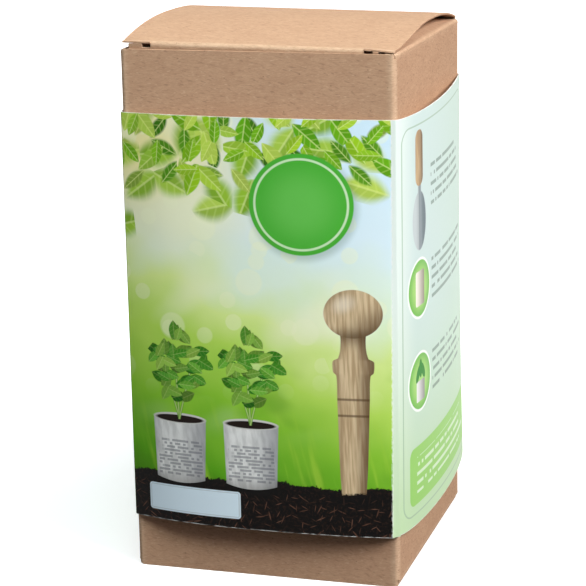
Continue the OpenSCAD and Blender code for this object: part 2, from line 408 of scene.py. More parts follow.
def modify(piece, kind, **settings):
    """Adds a modifier, sets it and applies it."""
    modifier = piece.modifiers.new(kind, kind)
    for key, value in settings.items():
        setattr(modifier, key, value)
    bpy.context.view_layer.objects.active = piece
    bpy.ops.object.modifier_apply(modifier=modifier.name)


def push_out(piece, amount, direction, most):
    """Moves each point along a direction by amount(point), which is most or less, in mm."""
    group = piece.vertex_groups.new(name="push")
    for vertex in piece.data.vertices:
        group.add([vertex.index], amount(vertex.co / MM) / most, "REPLACE")
    modify(piece, "DISPLACE", direction=direction, mid_level=0.0, strength=most * MM,
           vertex_group="push")
    piece.vertex_groups.remove(piece.vertex_groups["push"])


def smooth(piece, degrees):
    """Shades smoothly over every edge that turns less than the angle."""
    only(piece)
    bpy.ops.object.shade_smooth_by_angle(angle=math.radians(degrees))


def mirrored_copy(piece, name, middle_place, axis):
    """A copy with its own mesh, mirrored across a plane at middle_place mm on one axis."""
    only(piece)
    bpy.ops.object.duplicate()
    copy = bpy.context.object
    copy.name = name
    factor, place = Vector((1, 1, 1)), Vector()
    factor[axis], place[axis] = -1, 2 * middle_place * MM
    copy.scale, copy.location = factor, place
    settle()
    edit(copy)
    bpy.ops.mesh.select_all(action="SELECT")
    bpy.ops.mesh.normals_make_consistent(inside=False)
    return leave()


# %% [markdown]
# ## The carton's sizes
# A flap turns on a bend of its own, and two walls meet in an upright crease. MID is the middle
# of a wall's board, CORE the place where a bend ends and its flap starts, and WALL the place
# where an upright crease ends. A short lip of flat board hangs under each bend. The carton's
# foot mirrors its top, so one function gives the lower place that answers an upper one.

# %% Sizes of the carton
WIDTH, DEPTH, HEIGHT = 75.0, 76.0, 145.0
BOARD = 0.5
BEND, CREASE, LIP = 0.65, 1.0, 0.4
MID_X, MID_Y = (WIDTH - BOARD) / 2, (DEPTH - BOARD) / 2
CORE_X, CORE_Y = MID_X - BEND, MID_Y - BEND
WALL_X, WALL_Y = MID_X - CREASE, MID_Y - CREASE
LID_Z, DUST_Z = 145.45, 144.75
MIRROR_Z = (LID_Z + BOARD / 2) / 2


def clamp(value):
    return max(0.0, min(1.0, value))


def between(first, last, share):
    """The value at a share of the way from first to last."""
    return first + (last - first) * share


def below(place):
    """The same place on the foot, which mirrors the top before the lid's bow."""
    return Vector((place[0], place[1], 2 * MIRROR_Z - place[2]))


print("the foot mirrors the top at z", round(MIRROR_Z, 2), "mm")

# %% [markdown]
# ## From a thin surface to board
# Every board piece is first modelled as its middle surface, with no thickness. Solidify then
# gives it half a millimetre, and a second material on the rim shows the cut edge. A tiny
# bevel stops the edges from looking like razor blades. At the end the piece gets its flat map
# and its pale folds, partly wear and partly a painted highlight: most on the bend of a fold,
# and none a millimetre away from it.

# %% Where the folds are
# A point and the direction of each bend's axis, its radius in mm, and how pale its fold is made
# by wear and a painted highlight
X_LINE, Y_LINE, Z_LINE = (1, 0, 0), (0, 1, 0), (0, 0, 1)
FOLDS = {
    "upright": [((x, y, 0), Z_LINE, CREASE, 0.9)
                for x in (-WALL_X, WALL_X) for y in (-WALL_Y, WALL_Y)],
    "lid": [((0, CORE_Y, LID_Z - BEND), X_LINE, BEND, 0.8)],
    "dust": [((x, 0, DUST_Z - BEND), Y_LINE, BEND, 0.3) for x in (-CORE_X, CORE_X)],
}
for fold in ("lid", "dust"):
    FOLDS["base_" + fold] = [(below(point), *rest) for point, *rest in FOLDS[fold]]
print("folds on the walls:", sum(len(folds) for folds in FOLDS.values()))

# %% The step that finishes a piece of board
EDGE_ROUND, SHARP, SMOOTH = 0.07, 50, 35
# Where the pale fold band, partly wear and partly painted highlight, is full and where it ends,
# in mm
WEAR_AND_HIGHLIGHT_NEAR, WEAR_AND_HIGHLIGHT_FAR = 0.05, 0.65


def lay_out(piece):
    """Gives each face its own plane in mm as a flat map."""
    layer = piece.data.uv_layers.new(name="sheet")
    for face in piece.data.polygons:
        axis = max(range(3), key=lambda i: abs(face.normal[i]))
        first, second = ((1, 2), (0, 2), (0, 1))[axis]
        for corner in face.loop_indices:
            place = piece.data.vertices[piece.data.loops[corner].vertex_index].co
            layer.data[corner].uv = place[first] / MM, place[second] / MM


def store_wear_and_highlight(piece, folds):
    """Stores how near each point is to the bends of the folds: its share of wear and painted
    highlight.
    """
    values = []
    for vertex in piece.data.vertices:
        place, most = vertex.co / MM, 0.0
        for point, line, radius, strength in folds:
            near = (place - Vector(point)).cross(Vector(line).normalized()).length - radius
            share = clamp((WEAR_AND_HIGHLIGHT_FAR - near) / (WEAR_AND_HIGHLIGHT_FAR - WEAR_AND_HIGHLIGHT_NEAR))
            most = max(most, share * share * (3 - 2 * share) * strength)
        values.append(most)
    layer = piece.data.attributes.new("wear", "FLOAT", "POINT")
    layer.data.foreach_set("value", values)


def finish_board(piece, folds):
    """Gives a piece its thickness, its finish, its flat map and its pale folds of wear and
    painted highlight.
    """
    modify(piece, "SOLIDIFY", thickness=BOARD * MM, offset=0.0, use_even_offset=True,
           material_offset_rim=1)
    modify(piece, "BEVEL", width=EDGE_ROUND * MM, segments=1, limit_method="ANGLE",
           angle_limit=math.radians(SHARP))
    piece.data.materials.append(kraft_board)
    piece.data.materials.append(kraft_edge)
    smooth(piece, SMOOTH)
    lay_out(piece)
    store_wear_and_highlight(piece, folds)
    print(piece.name, "faces:", len(piece.data.polygons))


# %% [markdown]
# ## The four walls
# On the real carton one sheet of board runs round all four walls. A box with no top and
# bottom is the same shape, and bevelling its upright edges gives the rounded creases. The
# side walls and the back wall stop just before their folds, because those folds belong to
# the flaps: a flap is modelled with its bend, so that the bend can open with it. A few more
# cuts beside the creases and folds give points to their pale band, which is partly wear and
# partly a painted highlight.

# %% Walls of the carton
SIDE_TOP, BACK_TOP = DUST_Z - BEND - LIP, LID_Z - BEND - LIP
SIDE_FOOT, BACK_FOOT = 2 * MIRROR_Z - SIDE_TOP, 2 * MIRROR_Z - BACK_TOP
CREASE_CUTS, END_CUT, HINGE_CUT = (0.3, 0.7, 1.4), 0.5, 1.0
# A face looks along an axis where that part of its normal is more than this
FACING = 0.7


def is_upright(place, edge):
    return abs(edge.verts[0].co.z - edge.verts[1].co.z) > 1 * MM


def open_box(name, width, depth, foot, high, radius, steps):
    """A box with no top and bottom and rounded upright edges, left in edit mode."""
    bpy.ops.mesh.primitive_cube_add(
        size=1, location=(0, 0, (foot + high / 2) * MM),
        scale=(width * MM, depth * MM, high * MM))
    piece = bpy.context.object
    piece.name = name
    settle()
    edit(piece)
    pick("faces", lambda place, face: abs(face.normal.z) > FACING)
    bpy.ops.mesh.delete(type="ONLY_FACE")
    pick("edges", is_upright)
    round_off(radius, steps, "EDGES")
    return piece


walls = open_box("carton_walls", WIDTH - BOARD, DEPTH - BOARD, 0, HEIGHT, CREASE, 6)
slice_at(2, (SIDE_FOOT, BACK_FOOT, SIDE_TOP, BACK_TOP))
slice_at(2, (END_CUT, SIDE_FOOT + HINGE_CUT, SIDE_TOP - HINGE_CUT, HEIGHT - END_CUT))
for axis, core in ((0, WALL_X), (1, WALL_Y)):
    slice_at(axis, both_sides(*(core - cut for cut in CREASE_CUTS)))
removed = pick("faces", lambda place, face: (
    (abs(face.normal.x) > FACING and not SIDE_FOOT < place.z < SIDE_TOP)
    or (face.normal.y > FACING and not BACK_FOOT < place.z < BACK_TOP)))
bpy.ops.mesh.delete(type="FACE")
print("faces cut away above and below the folds:", removed)

# %% [markdown]
# The sheet's two ends meet at the rear left corner. There the left wall turns in, as a narrow
# strip glued inside the back wall, and the back wall's raw edge lies over the corner. The
# surface is split along that line, and the raw edge is moved out a little to lap over.

# %% The glued corner
RAW_LAP, RAW_STAND = 0.6, 0.12


def on_glued_line(place):
    return abs(place.x + WALL_X) < NEAR and abs(place.y - MID_Y) < NEAR


pick("edges", lambda place, edge: (
    on_glued_line(place) and abs(edge.verts[0].co.x - edge.verts[1].co.x) < 0.1 * MM))
bpy.ops.mesh.edge_split(type="EDGE")
raw_edge = pick("verts", lambda place, vertex: (
    on_glued_line(place)
    and any(face.calc_center_median().x > vertex.co.x for face in vertex.link_faces)))
shift(x=-RAW_LAP, y=RAW_STAND)
leave()
print("points on the raw edge:", raw_edge)

# %% [markdown]
# The front wall's lower corners aren't quite sharp. They are rounded by handling, so the foot
# of the wall is lifted there along a quarter circle.

# %% Rounding the front wall's lower corners
FOOT_ROUND = 1.5


def corner_rise(place):
    """Lifts the foot of the wall near its front corners, in mm."""
    inward = MID_X - abs(place.x)
    if place.y > -WALL_Y or place.z > SIDE_FOOT or inward >= FOOT_ROUND:
        return 0.0
    rise = FOOT_ROUND - math.sqrt(FOOT_ROUND ** 2 - (FOOT_ROUND - inward) ** 2)
    return rise * (1 - place.z / SIDE_FOOT)


push_out(walls, corner_rise, "Z", FOOT_ROUND)
finish_board(walls, FOLDS["upright"] + FOLDS["lid"] + FOLDS["dust"]
             + FOLDS["base_lid"] + FOLDS["base_dust"])
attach(walls, "carton")
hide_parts("front_panel", "right_panel", "back_panel", "left_panel")

# %% [markdown]
# The glued strip is a narrow sheet that stands upright inside the back wall. Its free edge is
# cut at a slope at both ends and its corners are rounded, so that it never catches a flap.

# %% The strip glued inside the back wall
STRIP_WIDE, STRIP_SLOPE, STRIP_ROUND = 12, 6, 2
STRIP_TOP, STRIP_FOOT, STRIP_Y = 141.25, 4.0, 37.23


def at_free_edge(place):
    return place.x > -CORE_X + STRIP_WIDE / 2


strip = add_sheet("glue_strip", (STRIP_WIDE, STRIP_TOP - STRIP_FOOT),
                  (-CORE_X + STRIP_WIDE / 2, STRIP_Y, (STRIP_TOP + STRIP_FOOT) / 2),
                  turn=(math.radians(90), 0, 0))
for sign in (-1, 1):
    pick("verts", lambda place, vertex: (
        at_free_edge(place) and (place.z - HEIGHT / 2) * sign > 0))
    shift(z=-STRIP_SLOPE * sign)
pick("verts", lambda place, vertex: at_free_edge(place))
round_off(STRIP_ROUND, 4)
leave()
finish_board(strip, FOLDS["upright"])
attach(strip, "carton")
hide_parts("glue_flap")

# %% [markdown]
# ## Dust flaps
# Two short flaps fold in from the side walls, and lie under the lid. Each is a flat shape
# with rounded tips, cut back at the rear so that it clears the lid's fold. The bend is a
# quarter turn spun from the flap's root, and a short strip below it meets the wall. The four
# dust flaps are alike, so one is modelled and three are mirrored copies.

# %% One dust flap, and three copies
DUST_LONG, DUST_ROUND = 24.0, 5.0
DUST_TIP = -MID_X + DUST_LONG
DUST_REAR, DUST_FRONT, ROOT_REACH = 36.2, -35.0, 37.2
TIP_REAR_CUT, TIP_FRONT_CUT = 23.35, 2.0
# Cuts beside a bend, in mm, that give points to its pale band of wear and painted highlight
WEAR_AND_HIGHLIGHT_CUTS = 0.5, 1.2


def at_tip(place):
    return place.x > DUST_TIP - NEAR


add_sheet("left_dust", (DUST_TIP + CORE_X, DUST_REAR - DUST_FRONT),
          ((DUST_TIP - CORE_X) / 2, (DUST_REAR + DUST_FRONT) / 2, DUST_Z))
pick("verts", lambda place, vertex: at_tip(place) and place.y > 0)
shift(y=-TIP_REAR_CUT)
pick("verts", lambda place, vertex: at_tip(place) and place.y < 0)
shift(y=TIP_FRONT_CUT)
pick("verts", lambda place, vertex: at_tip(place))
round_off(DUST_ROUND, 7)
slice_at(0, [-CORE_X + cut for cut in WEAR_AND_HIGHLIGHT_CUTS])
pick("edges", lambda place, edge: abs(place.x + CORE_X) < NEAR)
bend((-CORE_X, 0, DUST_Z - BEND), 90, steps=5, axis=Y_LINE)
pull(z=-LIP)
for sign in (-1, 1):
    pick("verts", lambda place, vertex: place.x < -CORE_X - NEAR and place.y * sign > 0)
    widen(y=0, centre=(0, sign * ROOT_REACH, 0))
left_dust = leave()
print("dust flap, lowest and highest z in mm:", *span(left_dust, 2))

right_dust = mirrored_copy(left_dust, "right_dust", 0, axis=0)
base_left_dust = mirrored_copy(left_dust, "base_left_dust", MIRROR_Z, axis=2)
base_right_dust = mirrored_copy(right_dust, "base_right_dust", MIRROR_Z, axis=2)

# %% [markdown]
# ## Lid and base
# The lid is one panel that folds in from the back wall. Its front fold carries the tuck
# flap, and at each end of that fold a slit is cut, so the lid's two front corners stay flat
# with raw edges. The base is the same panel upside down. The panel is made flat first. A copy
# becomes the base, and then the lid alone is bowed.

# %% A flat closure panel with its back fold
COVER_HALF, TUCK_HALF = 36.9, 29.0
TUCK_Y, CORNER_REACH = -37.1, -37.4
FOLD_START = TUCK_Y + BEND

add_sheet("lid_board", (2 * COVER_HALF, CORE_Y - FOLD_START),
          (0, (CORE_Y + FOLD_START) / 2, LID_Z), columns=32, rows=44)
slice_at(1, [CORE_Y - cut for cut in WEAR_AND_HIGHLIGHT_CUTS] + [FOLD_START + cut for cut in WEAR_AND_HIGHLIGHT_CUTS])
slice_at(0, both_sides(TUCK_HALF, COVER_HALF - WEAR_AND_HIGHLIGHT_CUTS[0]))
pick("edges", lambda place, edge: abs(place.y - CORE_Y) < NEAR)
bend((0, CORE_Y, LID_Z - BEND), 90, steps=5)
pull(z=-LIP)
pick("verts", lambda place, vertex: place.y > CORE_Y + NEAR)
widen(x=CORE_X / COVER_HALF)
corners = pick("edges", lambda place, edge: (
    abs(place.y - FOLD_START) < NEAR and abs(place.x) > TUCK_HALF))
pull(y=CORNER_REACH - FOLD_START)
lid_board = leave()
base_board = mirrored_copy(lid_board, "base_board", MIRROR_Z, axis=2)
print("edges at the free corners:", corners)

# %% [markdown]
# The tuck flap hangs from the front fold and leans in a little, because the carton's front
# holds it there. Its shoulders are wider than the fold, and show as brown ends in the slits.
# Beside each end of the fold a small notch is cut, and this is the dark hole in the
# photograph.

# %% The tuck flap
TUCK_LEAN, TUCK_LENGTH = 10.0, 16.0
SHOULDER_DROP, SHOULDER_RISE, SHOULDER_SLOPES = 0.6, 0.47, {-1: 0.1, 1: 1.4}
SHOULDER_HALF, SHOULDER_CUT, NOTCH_HALF = 35.2, 32.9, 31.4
TIP_HALF, TIP_ROUND = 33.5, 6.0
turn = math.radians(90 + TUCK_LEAN)
bend_end = Vector((0, -math.sin(turn), math.cos(turn))) * BEND
bend_end += Vector((0, FOLD_START, LID_Z - BEND))
down = Vector((0, -math.cos(turn), -math.sin(turn)))
plate = TUCK_LENGTH - BEND * turn - SHOULDER_DROP
top_z = (bend_end + down * SHOULDER_DROP).z
tip_z = (bend_end + down * (SHOULDER_DROP + plate)).z


def at_top(place):
    return abs(place.z - top_z) < 0.05


add_sheet("lid_tuck", (2 * SHOULDER_HALF, plate),
          bend_end + down * (SHOULDER_DROP + plate / 2), turn=(turn, 0, 0))
pick("verts", lambda place, vertex: abs(place.z - tip_z) < 0.1)
widen(x=TIP_HALF / SHOULDER_HALF)
round_off(TIP_ROUND, 8)
slice_at(0, both_sides(TUCK_HALF, NOTCH_HALF, SHOULDER_CUT))
pick("edges", lambda place, edge: at_top(place) and abs(place.x) > NOTCH_HALF)
pull(*(-down * (SHOULDER_DROP + SHOULDER_RISE)))
for side, slope in SHOULDER_SLOPES.items():
    pick("verts", lambda place, vertex: (
        place.z > top_z + SHOULDER_RISE / 2 and place.x * side > SHOULDER_HALF - 0.1))
    shift(*(down * slope))
pick("edges", lambda place, edge: at_top(place) and abs(place.x) < TUCK_HALF)
pull(*(-down * SHOULDER_DROP))
bend((0, FOLD_START, LID_Z - BEND), 90 + TUCK_LEAN, steps=6)
lid_tuck = leave()
base_tuck = mirrored_copy(lid_tuck, "base_tuck", MIRROR_Z, axis=2)
print("tuck flap: top at z", span(lid_tuck, 2)[1], "and front at y", span(lid_tuck, 1)[0], "mm")

# %% [markdown]
# ## The bow of the lid
# Nothing holds the lid down between its folds, so it springs up in a bow. Its crest lies just
# behind the middle, and it stands higher on the left than on the right, where the tip of its
# front corner rests on the wall. Each point gets a weight by its place, and Displace moves it
# up by that share of the highest rise.

# %% Bowing the lid
FRONT_LEFT, FRONT_RIGHT = 1.2, 0.4
BOW_LEFT, BOW_RIGHT, CREST = 4.5, 3.4, 0.47
REAR_POWER, FRONT_POWER, HOLLOW_GROWS = 2.8, 2.3, 1.3
TIP_FROM, TIP_SINKS = 31.5, 0.45
HIGHEST = BOW_LEFT + FRONT_LEFT


def lid_rise(place):
    """Height of the bowed lid over the flat one, in mm."""
    across = (place.x + WIDTH / 2) / WIDTH
    along = max(0.0, (MID_Y - max(place.y, FOLD_START)) / (MID_Y - TUCK_Y))
    if along < CREST:
        bow = 1 - ((CREST - along) / CREST) ** REAR_POWER
    else:
        fall = (along - CREST) / (1 - CREST)
        hollow, full = (1 + math.cos(math.pi * fall)) / 2, 1 - fall ** FRONT_POWER
        bow = between(full, hollow, min(1.0, across * HOLLOW_GROWS))
    tip = TIP_SINKS * max(0.0, place.x - TIP_FROM) / (COVER_HALF - TIP_FROM)
    front = between(FRONT_LEFT, FRONT_RIGHT, across) - tip
    return max(0.0, front * along + between(BOW_LEFT, BOW_RIGHT, across) * bow)


for piece in (lid_board, lid_tuck):
    push_out(piece, lid_rise, "Z", HIGHEST)
print("crest of the lid at z", span(lid_board, 2)[1], "mm")

# %% [markdown]
# The upper dust flaps aren't pressed flat either. Each rises from its fold and follows the
# lid for most of its bow, which closes part of the gap that is seen under the lid's edge. The
# flat flap has no points to move, so it is first cut into rows and columns.

# %% Springing the upper dust flaps
FLAP_SHARE, FLAP_REACH, FLAP_EASE = 0.66, 8.0, 0.3
SPRING_ROWS, SPRING_COLUMNS = range(-32, 37, 4), (35.4, 34, 32, 30, 28, 25, 20)


def flap_rise(place):
    """Height of a sprung dust flap over a flat one, in mm."""
    side = math.copysign(COVER_HALF, place.x)
    inward = clamp((CORE_X + FLAP_EASE - abs(place.x)) / FLAP_REACH)
    return FLAP_SHARE * lid_rise(Vector((side, place.y, 0))) * math.sin(math.pi / 2 * inward)


for piece in (left_dust, right_dust):
    edit(piece)
    slice_at(1, SPRING_ROWS)
    slice_at(0, both_sides(*SPRING_COLUMNS))
    leave()
    push_out(piece, flap_rise, "Z", HIGHEST)
    print(piece.name, "springs up to z", span(piece, 2)[1], "mm")

# %% [markdown]
# ## Board for the flaps
# A flap and its wall are one sheet of board. Each dust flap gets its thickness and finish here,
# and the places where its bend starts and ends are worked out. The foot's bends are the
# mirrored ones.

# %% Board for the dust flaps
for piece, side, where in (
    (left_dust, -1, ""), (right_dust, 1, ""), (base_left_dust, -1, "base_"),
    (base_right_dust, 1, "base_"),
):
    finish_board(piece, FOLDS["upright"] + FOLDS[where + "dust"])
    start, end = Vector((side * MID_X, 0, DUST_Z - BEND)), Vector((side * CORE_X, 0, DUST_Z))
    if where:
        start, end = below(start), below(end)
    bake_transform(piece)
    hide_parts(piece.name + "_flap")

# %% Board for the lid, the base and the tuck flaps
TILT_REACH = 30
front_rise = lid_rise(Vector((0, TUCK_Y, 0)))
tilt = (lid_rise(Vector((TILT_REACH, TUCK_Y, 0))) - front_rise) / TILT_REACH
flat_axis = (0, FOLD_START, LID_Z - BEND)
tuck_fold = [((0, FOLD_START, LID_Z - BEND + front_rise), (1, 0, tilt), BEND, 1.0)]
base_tuck_fold = [(below(flat_axis), X_LINE, BEND, 1.0)]
for piece, folds in (
    (lid_board, FOLDS["lid"] + tuck_fold), (lid_tuck, tuck_fold),
    (base_board, FOLDS["base_lid"] + base_tuck_fold), (base_tuck, base_tuck_fold),
):
    finish_board(piece, folds)

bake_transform(lid_board)
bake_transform(lid_tuck)
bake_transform(base_board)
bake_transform(base_tuck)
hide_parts("lid_panel")
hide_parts("lid_tuck_flap")
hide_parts("base_panel")
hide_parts("base_tuck_flap")
print("front fold of the lid lifted by", round(front_rise, 2), "mm")

# %% [markdown]
# ## The printed sleeve
# The sleeve is a strip of coated paper, folded round the carton and glued at the back. The
# strip is a box with no top and bottom again. It is cut into rows and columns, so that each
# side can be pushed out in a curve afterwards, with closer cuts beside the worn fold.

# %% The sleeve as four flat sides
PAPER, PLAY = 0.25, 0.12
SLEEVE_FOOT, SLEEVE_HIGH = 14.5, 113.7
SLEEVE_TOP = SLEEVE_FOOT + SLEEVE_HIGH
SLEEVE_X, SLEEVE_Y = WIDTH / 2 + PLAY + PAPER / 2, DEPTH / 2 + PLAY + PAPER / 2
CORNER, LAP, FOLD_BACK = 0.5, 12.0, 1.4
FOLD_X, FOLD_U = SLEEVE_X - FOLD_BACK, WIDTH - FOLD_BACK
COLUMNS, ROWS, LONG_EDGE = 30, 36, 10
FOLD_CUTS, SIDE_CUTS = (-0.5, 0.0, 0.4), (0.8, 1.6)

sleeve = open_box(
    "printed_sleeve", 2 * SLEEVE_X, 2 * SLEEVE_Y, SLEEVE_FOOT, SLEEVE_HIGH, CORNER, 4)
pick("edges", lambda place, edge: (
    not is_upright(place, edge) and edge.calc_length() > LONG_EDGE * MM))
bpy.ops.mesh.subdivide(number_cuts=COLUMNS - 1)
pick("edges", is_upright)
bpy.ops.mesh.subdivide(number_cuts=ROWS - 1)
slice_at(0, (-SLEEVE_X + LAP, -FOLD_X, *(FOLD_X + cut for cut in FOLD_CUTS)))
slice_at(1, [-SLEEVE_Y + CORNER + cut for cut in SIDE_CUTS])
leave()
print("sleeve columns and rows as faces:", len(sleeve.data.polygons))

# %% [markdown]
# A flat map tells the print where each face lies on the unfolded strip. It is laid now, while
# the sides are still flat, in mm along the strip and up from its foot, so the print will bend
# with the paper. The paper isn't folded quite at the carton's corners: the side panels' print
# starts a little before them, and the worn fold is on that line.

# %% The flat map of the print
# For each side: out of it, onward along it, half its length, its start and width on the strip
SIDES = (
    (Vector((0, -1, 0)), Vector((1, 0, 0)), SLEEVE_X, 0.0, WIDTH),
    (Vector((1, 0, 0)), Vector((0, 1, 0)), SLEEVE_Y, WIDTH, DEPTH),
    (Vector((0, 1, 0)), Vector((-1, 0, 0)), SLEEVE_X, WIDTH + DEPTH, WIDTH),
    (Vector((-1, 0, 0)), Vector((0, -1, 0)), SLEEVE_Y, 2 * WIDTH + DEPTH, DEPTH),
)
flat = sleeve.data.uv_layers.new(name="print")
for face in sleeve.data.polygons:
    _, onward, half, start, wide = next(
        (side for side in SIDES if face.normal.dot(side[0]) > FACING), SIDES[0])
    for corner in face.loop_indices:
        place = sleeve.data.vertices[sleeve.data.loops[corner].vertex_index].co / MM
        flat.data[corner].uv = (
            start + (place.dot(onward) / half + 1) / 2 * wide, place.z - SLEEVE_FOOT)
    along = sum(flat.data[corner].uv.x for corner in face.loop_indices) / face.loop_total
    face.material_index = int(along % (WIDTH + DEPTH) > FOLD_U)
print("faces with the side panels' print:", sum(
    face.material_index for face in sleeve.data.polygons))

# %% [markdown]
# At the back the strip's two ends overlap, and there the paper is double. The overlap is a
# copy of the faces beside the rear left corner, moved out by a little more than the paper.

# %% The overlap at the back
LAP_GAP = 0.03
edit(sleeve)
lapped = pick("faces", lambda place, face: (
    face.normal.y > FACING and place.x < -SLEEVE_X + LAP))
bpy.ops.mesh.duplicate_move(TRANSFORM_OT_translate={"value": (0, (PAPER + LAP_GAP) * MM, 0)})
leave()
print("faces in the overlap:", lapped)

# %% [markdown]
# The sleeve was folded a little too long, so every side stands out in a curve. The right side
# stands out most just behind the front crease, and near the foot the worn fold stands out too.
# The whole sleeve also sits higher at the back, and its foot is cut a little askew.

# %% How far each side stands out
FRONT_TOP, FRONT_FOOT = 2.7, 4.3
SIDE_TOP_OUT, SIDE_FOOT_OUT = 3.6, 4.7
OTHER_OUT, BULGE_POWER = 3.3, 2.6
PEAK_RISE, FALL_TOP, FALL_FOOT = 0.65, 1.0, 0.60
FOLD_OUT, FOLD_POWER, FOLD_FROM, FOLD_FALL, CORNER_SHARE = 1.7, 1.5, 8, 0.55, 0.45


def arched(share, most):
    """Most in the middle of a side, and nothing at its two ends."""
    return most * (1 - abs(share) ** BULGE_POWER)


def front_bulge(place, share, down, stand):
    """The front's own curve, with the worn fold that stands out at its right end."""
    rise = clamp((place.x - FOLD_FROM) / (FOLD_X - FOLD_FROM))
    fall = max(0.0, place.x - FOLD_X) / (SLEEVE_X - CORNER - FOLD_X)
    return (arched(share, between(FRONT_TOP, FRONT_FOOT, down))
            + stand * (rise ** 2 - FOLD_FALL * fall))


def right_bulge(share, down):
    """The right side's curve, steep behind the front crease and long at the rear."""
    along, fall = (share + 1) / 2, between(FALL_TOP, FALL_FOOT, down)
    peak = PEAK_RISE / (PEAK_RISE + fall)
    highest = peak ** PEAK_RISE * (1 - peak) ** fall
    most = between(SIDE_TOP_OUT, SIDE_FOOT_OUT, down)
    return most * along ** PEAK_RISE * (1 - along) ** fall / highest


def sleeve_bulge(place):
    """How far a point of the sleeve stands out, in mm."""
    down = (SLEEVE_TOP - place.z) / SLEEVE_HIGH
    x_share, y_share = place.x / (SLEEVE_X - CORNER), place.y / (SLEEVE_Y - CORNER)
    stand = FOLD_OUT * down ** FOLD_POWER
    if abs(y_share) >= 1 and abs(x_share) <= 1:
        if y_share > 0:
            return arched(x_share, OTHER_OUT)
        return front_bulge(place, x_share, down, stand)
    if abs(x_share) >= 1 and abs(y_share) <= 1:
        return arched(y_share, OTHER_OUT) if x_share < 0 else right_bulge(y_share, down)
    if x_share > 1 and y_share < -1:
        return stand * CORNER_SHARE * (abs(place.y) - SLEEVE_Y + CORNER) / CORNER
    return 0.0


for level in (SLEEVE_FOOT, SLEEVE_TOP):
    out = sleeve_bulge(Vector((0, -SLEEVE_Y, level)))
    print("middle of the front at z", round(level, 1), "stands out", round(out, 2), "mm")

# %% Pushing the sides out, and seating the sleeve askew
ASKEW, CUT_SHORT, RISE_MOST = 0.9, (0.55, 1.55), 2.5


def sleeve_rise(place):
    """How far a point is lifted, in mm."""
    back = (place.y / SLEEVE_Y + 1) / 2
    foot = (SLEEVE_TOP - place.z) / SLEEVE_HIGH
    return ASKEW * back + foot * between(*CUT_SHORT, back)


push_out(sleeve, sleeve_bulge, "NORMAL", SIDE_FOOT_OUT)
push_out(sleeve, sleeve_rise, "Z", RISE_MOST)
print("sleeve in x, y and z, in mm:", *(span(sleeve, axis) for axis in range(3)))

# %% [markdown]
# ## Turned wood
# The press is turned on a lathe, and it is modelled the same way: an outline is drawn point
# by point from the axis, and spun round it. The former has a ball handle, a neck, a rounded
# shoulder and two cut grooves.

# %% A lathe
SAME_POINT, ROUND_SMOOTH = 0.005, 40


def turn_on_lathe(name, outline, steps=96):
    """Spins an outline of (radius, height) points in mm round the upright axis."""
    bpy.ops.mesh.primitive_plane_add(size=MM, location=(0, 0, 0))
    piece = bpy.context.object
    piece.name = name
    bpy.ops.object.mode_set(mode="EDIT")
    bpy.ops.mesh.merge(type="CENTER")
    bpy.ops.mesh.select_mode(type="VERT")
    bpy.ops.mesh.select_all(action="SELECT")
    shift(outline[0][0], 0, outline[0][1])
    for (r0, z0), (r1, z1) in zip(outline, outline[1:]):
        pull(x=r1 - r0, z=z1 - z0)
    bpy.ops.mesh.select_all(action="SELECT")
    bpy.ops.mesh.spin(steps=steps, angle=math.tau, center=(0, 0, 0), axis=Z_LINE)
    bpy.ops.mesh.select_all(action="SELECT")
    bpy.ops.mesh.remove_doubles(threshold=SAME_POINT * MM)
    bpy.ops.mesh.normals_make_consistent(inside=False)
    smooth(leave(), ROUND_SMOOTH)
    print(name, "points:", len(piece.data.vertices))
    return piece


def arc(centre, radii, start, end, steps):
    """Points on an ellipse, from one angle in degrees to another."""
    angles = [math.radians(start + (end - start) * i / steps) for i in range(steps + 1)]
    return [(centre[0] + radii[0] * math.cos(a), centre[1] + radii[1] * math.sin(a))
            for a in angles]


# %% The former with its ball handle
PRESS_Z = 1.4
FORMER_R, NECK_R, BALL_R = 27.5, 20.8, 27.2
FORMER_FOOT, PRESS_HIGH, BALL_HIGH, SHOULDER_HIGH = 10.15, 140.0, 36.2, 11.8
FORMER_ROUND = 1.2
GROOVES, GROOVE_R, GROOVE_EASE = (68.4, 77.6), 0.9, 0.15

neck_z = PRESS_HIGH - BALL_HIGH
neck_angle = -math.acos(NECK_R / BALL_R)
ball_rise = BALL_HIGH / (1 - math.sin(neck_angle))
round_x = FORMER_R - FORMER_ROUND
outline = [(0, FORMER_FOOT + 0.6), (9, FORMER_FOOT + 0.5), (16, FORMER_FOOT + 0.1)]
outline += [(round_x, FORMER_FOOT)]
outline += arc((round_x, FORMER_FOOT + FORMER_ROUND), (FORMER_ROUND, FORMER_ROUND), -75, 0, 5)
outline += [(FORMER_R, z) for z in (24, 38, 52, 64)]
for z in GROOVES:
    outline += [(FORMER_R, z - GROOVE_R - GROOVE_EASE)]
    outline += arc((FORMER_R, z), (-GROOVE_R, GROOVE_R), -90, 90, 8)[1:-1]
    outline += [(FORMER_R, z + GROOVE_R + GROOVE_EASE)]
outline += [(FORMER_R, 85)]
outline += arc((NECK_R, neck_z - SHOULDER_HIGH),
               (FORMER_R - NECK_R, SHOULDER_HIGH), 0, 84, 12)
outline += [(NECK_R + 0.15, neck_z)]
outline += arc((0, PRESS_HIGH - ball_rise), (BALL_R, ball_rise),
               math.degrees(neck_angle) + 2, 84, 30)
outline += [(1.6, PRESS_HIGH - 0.02), (1.2, PRESS_HIGH - 0.12), (0.5, PRESS_HIGH - 0.7)]
outline += [(0, PRESS_HIGH - 0.8)]
former = turn_on_lathe("turned_former", [(r, z + PRESS_Z) for r, z in outline])

# %% [markdown]
# The cup stands under the former. Its wide rounded rim folds the pot's bottom over, its waist
# is a little narrower, and its recess leaves room for the former and a few layers of paper.

